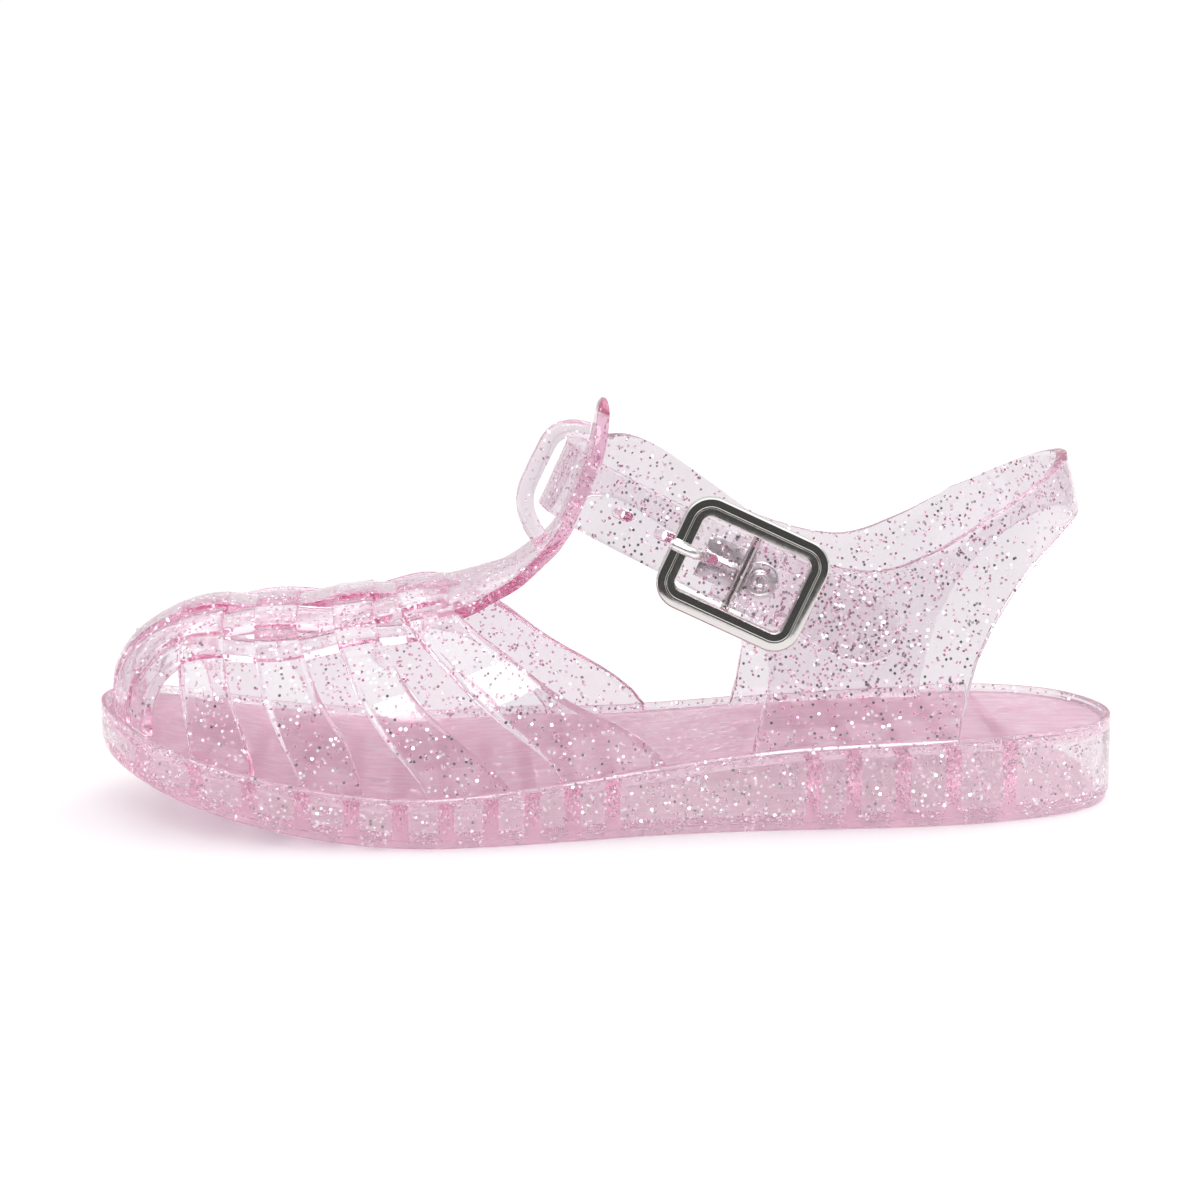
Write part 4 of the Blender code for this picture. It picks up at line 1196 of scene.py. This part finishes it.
def clear_plastic(name, tint, painted_shade_tint, clearness, gloss, haze, density, ripple):
    """Clear tinted plastic: its colour comes mostly from how far light runs through it.

    Faces that look up are a rougher, grained haze where the mould is grained. In the grain streaks
    there they also take the second tint, a darker pink painted as shade, standing in for the shade
    and long path of light under the footbed.
    """
    mat, tree = node_material(name)
    place_in = add_node(tree, "TexCoord").outputs["Object"]
    waves = add_node(tree, "TexNoise", Vector=place_in, Scale=RIPPLE_SCALE, Detail=2.0)
    bump = add_node(tree, "Bump", Strength=ripple, Distance=RIPPLE_HEIGHT,
                    Height=waves.outputs["Fac"])
    along = add_node(tree, "Mapping", Vector=place_in, Scale=GRAIN_SCALE)
    grain = add_node(tree, "TexNoise", Vector=along.outputs["Vector"], Scale=1.0, Detail=3.0)
    normal = add_node(tree, "SeparateXYZ", add_node(tree, "NewGeometry").outputs["Normal"])
    up = normal.outputs["Z"]
    rough = fitted(tree, maths(tree, "ABSOLUTE", up), *UP_FACING, gloss, haze)
    streak = fitted(tree, grain.outputs["Fac"], *GRAIN_STREAKS)
    # Painted shade: the grain streaks on faces that look up take the darker second tint, standing in
    # for shade under the footbed
    painted_shade_mask = maths(tree, "MULTIPLY", fitted(tree, up, *UP_FACING), streak)
    shader = add_node(tree, "BsdfPrincipled", IOR=1.49, Transmission_Weight=clearness,
                      Base_Color=mixed_colour(tree, painted_shade_mask, tint, painted_shade_tint), Roughness=rough,
                      Normal=bump.outputs["Normal"])
    rays = add_node(tree, "LightPath").outputs
    soft = maths(tree, "MAXIMUM", rays["Is Shadow Ray"], rays["Is Diffuse Ray"])
    through = add_node(tree, "BsdfTransparent", SHADOW_TINT)
    mix = add_node(tree, "MixShader", soft, shader.outputs[0], through.outputs[0])
    volume = add_node(tree, "VolumeAbsorption", PLASTIC_ABSORB, density)
    add_node(tree, "OutputMaterial", mix.outputs[0], volume.outputs[0])
    return mat


# Wear of the metals: how fine it is, how deep, and how far it changes their roughness
WEAR_SCALE = 900.0
WEAR_DEPTH = 0.00005
WEAR_RANGE = (0.6, 1.6)


def bright_metal(name, colour, roughness):
    """Polished plated metal with faint wear in its shine."""
    mat, tree = node_material(name)
    place_in = add_node(tree, "TexCoord").outputs["Object"]
    spots = add_node(tree, "TexNoise", Vector=place_in, Scale=WEAR_SCALE, Detail=4.0).outputs["Fac"]
    wear = fitted(tree, spots, 0.0, 1.0, *(roughness * share for share in WEAR_RANGE))
    bump = add_node(tree, "Bump", Strength=0.05, Distance=WEAR_DEPTH, Height=spots)
    shader = add_node(tree, "BsdfPrincipled", Base_Color=colour, Metallic=1.0, Roughness=wear,
                      Normal=bump.outputs["Normal"])
    add_node(tree, "OutputMaterial", shader.outputs[0])
    return mat


# Glitter: flakes per cubic millimetre, and the size, depth and tilt of one
UPPER_FLAKES = 0.36
SOLE_FLAKES = 0.50
FLAKE_RADIUS = 0.00027
FLAKE_SIDES = 6
FLAKE_MARGIN = 0.00018
FLAKE_THICKEST = 0.0034
FLAKE_START = 0.00001
FLAKE_TILT = 0.08
FLAKE_LOOSE_TILT = 0.50
FLAKE_LOOSE_SHARE = 0.75
FLAKE_MOST_TILT = 0.60
FLAKE_BATCH = 4000
FLAKE_SEED = 11
CUBIC_MM = 1e9


def mesh_arrays(mesh):
    """Places of a mesh's vertices, and its triangles, as rows of three."""
    mesh.calc_loop_triangles()
    places = np.empty(len(mesh.vertices) * 3)
    mesh.vertices.foreach_get("co", places)
    triangles = np.empty(len(mesh.loop_triangles) * 3, dtype=np.int64)
    mesh.loop_triangles.foreach_get("vertices", triangles)
    return places.reshape(-1, 3), triangles.reshape(-1, 3)


def flake_corners(centre, facing, turn):
    side = facing.orthogonal().normalized()
    other = facing.cross(side)
    corners = []
    for k in range(FLAKE_SIDES):
        angle = math.tau * (k / FLAKE_SIDES + turn)
        corners.append(centre + (side * math.cos(angle) + other * math.sin(angle)) * FLAKE_RADIUS)
    return corners


def scatter_flakes(name, host, per_mm3, seed):
    """Flat hexagonal flakes inside a walled solid, lying roughly along its faces."""
    random = np.random.default_rng(seed)
    places, triangles = mesh_arrays(host.data)
    a, b, c = (places[triangles[:, k]] for k in range(3))
    cross = np.cross(b - a, c - a)
    area = np.linalg.norm(cross, axis=1) / 2
    solid = float(np.einsum("ij,ij->i", a, np.cross(b, c)).sum() / 6)
    wanted = int(abs(solid) * CUBIC_MM * per_mm3)
    tree = BVHTree.FromPolygons([tuple(v) for v in places], triangles.tolist())
    verts = []
    share = area / area.sum()
    while len(verts) < wanted * FLAKE_SIDES:
        picks = random.choice(len(area), size=FLAKE_BATCH, p=share)
        spots = random.random((FLAKE_BATCH, 5))
        loose = random.random((FLAKE_BATCH, 1)) < FLAKE_LOOSE_SHARE
        spread = np.where(loose, FLAKE_LOOSE_TILT, FLAKE_TILT)
        tilts = random.normal(0.0, 1.0, (FLAKE_BATCH, 3)) * spread
        tilts = np.clip(tilts, -FLAKE_MOST_TILT, FLAKE_MOST_TILT)
        for pick, spot, tilt in zip(picks, spots, tilts):
            root = math.sqrt(spot[0])
            p = (a[pick] * (1 - root) + b[pick] * root * (1 - spot[1]) + c[pick] * root * spot[1])
            normal = Vector(cross[pick]).normalized()
            start = Vector(p) - normal * FLAKE_START
            _, _, struck, wall = tree.ray_cast(start, -normal)
            if struck is None or not 2 * FLAKE_MARGIN <= wall <= FLAKE_THICKEST:
                continue
            if spot[4] * FLAKE_THICKEST > wall or len(verts) >= wanted * FLAKE_SIDES:
                continue
            centre = start - normal * (FLAKE_MARGIN + (wall - 2 * FLAKE_MARGIN) * spot[2])
            verts += flake_corners(centre, (normal + Vector(tilt)).normalized(), spot[3])
    flakes = add_mesh(name, verts, [tuple(range(k, k + FLAKE_SIDES))
                                    for k in range(0, len(verts), FLAKE_SIDES)])
    flakes.data.shade_flat()
    return flakes


upper_plastic = clear_plastic("clear_pink_upper", UPPER_TINT, UPPER_TINT, 0.99, 0.03, 0.06,
                              UPPER_DENSITY, 0.10)
# On the sole, the faces that look up take a darker pink, painted shade for the footbed
sole_plastic = clear_plastic("clear_pink_sole", SOLE_TINT, FOOTBED_PAINTED_SHADE_TINT, 0.92, 0.06, 0.45,
                             SOLE_DENSITY, 0.15)
chrome = bright_metal("bright_chrome", (0.66, 0.645, 0.62), 0.10)
dull_metal = bright_metal("dull_metal", (0.84, 0.835, 0.83), 0.26)
glitter = bright_metal("silver_glitter", (0.95, 0.94, 0.95), 0.14)

pieces = (
    # piece, material, slot, nodes of the part that it replaces
    (make_sole(), sole_plastic, "sole_plastic", ("sole", "tread")),
    (make_vamp(), upper_plastic, "upper_plastic", ("vamp",)),
    (make_heel(), upper_plastic, "upper_plastic", ("heel_and_ankle_strap",)),
    (make_buckle_frame(), chrome, "buckle_metal", ("buckle_frame",)),
    (make_prong(), dull_metal, "buckle_metal", ("buckle_prong",)),
    (make_rivet(), dull_metal, "buckle_metal", ("buckle_rivet",)),
)
for piece, mat, slot, nodes in pieces:
    piece.data.materials.clear()
    piece.data.materials.append(mat)
    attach(piece, "root")
    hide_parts(*nodes)

glitter_in = (
    # name, piece that it lies in, slot, flakes per cubic millimetre
    ("glitter_in_sole", pieces[0][0], "sole_plastic", SOLE_FLAKES),
    ("glitter_in_vamp", pieces[1][0], "upper_plastic", UPPER_FLAKES),
    ("glitter_in_heel_and_strap", pieces[2][0], "upper_plastic", UPPER_FLAKES),
)
for index, (name, host, slot, per_mm3) in enumerate(glitter_in):
    flakes = scatter_flakes(name, host, per_mm3, FLAKE_SEED + index)
    flakes.data.materials.append(glitter)
    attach(flakes, "root")

# Studio: floor tints, with painted shade under the sandal, painted light far from it and painted
# shade where it is seen through clear plastic, and where the painted gradient fades
FLOOR_SHADED_NEAR_TINT = (0.765, 0.755, 0.760)
FLOOR_LIT_FAR_TINT = (0.93, 0.93, 0.93)
FLOOR_SHADED_THROUGH_TINT = (0.600, 0.595, 0.600)
FLOOR_PAINTED_LIGHT_FADE = (0.12, 0.90)
FLOOR_SIZE = 6.0
FLOOR_DROP = 0.0002
FLOOR_FRONT = -0.195


def pale_floor():
    """Pale matt floor with painted light: darker under the sandal to deepen its shadow, a little
    lighter where the lights no longer reach, and darker, as painted shade, where it is seen through
    clear plastic.
    """
    mat, tree = node_material("pale_floor")
    place_in = add_node(tree, "TexCoord").outputs["Object"]
    away = add_node(tree, "VectorMath", place_in, settings={"operation": "LENGTH"})
    # Painted light and shade: darker near the sandal, lighter far from it
    fade = fitted(tree, away.outputs["Value"], *FLOOR_PAINTED_LIGHT_FADE, curve="SMOOTHSTEP")
    straight = mixed_colour(tree, fade, FLOOR_SHADED_NEAR_TINT, FLOOR_LIT_FAR_TINT)
    # Painted shade: the floor seen through clear plastic takes a darker tint
    through = add_node(tree, "LightPath").outputs["Is Transmission Ray"]
    shader = add_node(tree, "BsdfPrincipled", Roughness=0.9,
                      Base_Color=mixed_colour(tree, through, straight, FLOOR_SHADED_THROUGH_TINT))
    add_node(tree, "OutputMaterial", shader.outputs[0])
    return mat


# Glow of the world: as metal and glitter mirror it in front, behind and from above, and as it is
# seen by the camera and through plastic; and where its front and its top begin and end
FRONT_GLOW = 0.08
BACK_GLOW = 0.80
TOP_GLOW = 0.8
CAMERA_GLOW = 1.03
SEEN_GLOW = 0.81
FRONT_SIDE = (-0.75, -0.15)
TOP_SIDE = (0.40, 0.75)


def light_world():
    """Even white world, which is darker towards the camera in whatever mirrors it."""
    world = bpy.data.worlds.new("studio")
    world.use_nodes = True
    tree = world.node_tree
    tree.nodes.clear()
    parts = add_node(tree, "SeparateXYZ", add_node(tree, "TexCoord").outputs["Generated"]).outputs
    rays = add_node(tree, "LightPath").outputs
    front = fitted(tree, parts["Y"], *FRONT_SIDE, FRONT_GLOW, BACK_GLOW, "SMOOTHSTEP")
    top = fitted(tree, parts["Z"], *TOP_SIDE, 0.0, TOP_GLOW, "SMOOTHSTEP")
    was_mirrored = maths(tree, "GREATER_THAN", rays["Glossy Depth"], 0.5)
    was_scattered = maths(tree, "GREATER_THAN", rays["Diffuse Depth"], 0.5)
    seen = maths(tree, "MAXIMUM", was_mirrored, was_scattered)
    straight = add_node(tree, "Mix", rays["Is Camera Ray"], A=SEEN_GLOW, B=CAMERA_GLOW)
    glow = add_node(tree, "Mix", seen, A=straight.outputs[0], B=maths(tree, "ADD", front, top))
    lit = add_node(tree, "Background", (1.0, 1.0, 1.0), glow.outputs[0])
    add_node(tree, "OutputWorld", lit.outputs[0])
    return world


def turned_to(obj, place_at, direction):
    """Put a light or the camera in the scene, looking along a direction."""
    obj.location = place_at
    obj.rotation_euler = direction.to_track_quat("-Z", "Y").to_euler()
    bpy.context.scene.collection.objects.link(obj)
    return obj


def area_light(name, place_at, target, size, power):
    light = bpy.data.lights.new(name, "AREA")
    light.shape = "DISK"
    light.size = size
    light.energy = power
    return turned_to(bpy.data.objects.new(name, light), place_at, Vector(target) - Vector(place_at))


# Camera, at the photograph's angle
CAMERA_TARGET = Vector((-0.00178, 0.0, 0.03484))
CAMERA_DISTANCE = 0.5096
CAMERA_AZIMUTH = math.radians(-3.40)
CAMERA_ELEVATION = math.radians(9.95)
CAMERA_LENS = 88.6
CAMERA_SENSOR = 36.0


def photo_camera():
    data = bpy.data.cameras.new("camera")
    data.lens = CAMERA_LENS
    data.sensor_width = CAMERA_SENSOR
    data.sensor_fit = "HORIZONTAL"
    data.clip_start = 0.01
    level = math.cos(CAMERA_ELEVATION)
    away = Vector((math.sin(CAMERA_AZIMUTH) * level, -math.cos(CAMERA_AZIMUTH) * level,
                   math.sin(CAMERA_ELEVATION)))
    return turned_to(bpy.data.objects.new("camera", data), CAMERA_TARGET + away * CAMERA_DISTANCE,
                     -away)


floor = add_mesh("floor", [Vector((x, y, -FLOOR_DROP)) for x, y in (
    (-FLOOR_SIZE / 2, FLOOR_FRONT), (FLOOR_SIZE / 2, FLOOR_FRONT),
    (FLOOR_SIZE / 2, FLOOR_SIZE), (-FLOOR_SIZE / 2, FLOOR_SIZE))], [(0, 1, 2, 3)])
floor.data.materials.append(pale_floor())
area_light("key_light", (0.55, 0.35, 0.9), (0, 0, 0), 0.7, 3.0)
area_light("front_light", (0.10, -0.75, 0.62), (0, 0, 0.02), 0.55, 3.8)

scene = bpy.context.scene
scene.world = light_world()
scene.camera = photo_camera()
scene.view_settings.view_transform = "Standard"
scene.view_settings.look = "None"
scene.cycles.max_bounces = 20
scene.cycles.transmission_bounces = 18
scene.cycles.glossy_bounces = 14
scene.cycles.diffuse_bounces = 2
scene.cycles.transparent_max_bounces = 24
scene.cycles.caustics_refractive = False
scene.cycles.caustics_reflective = False
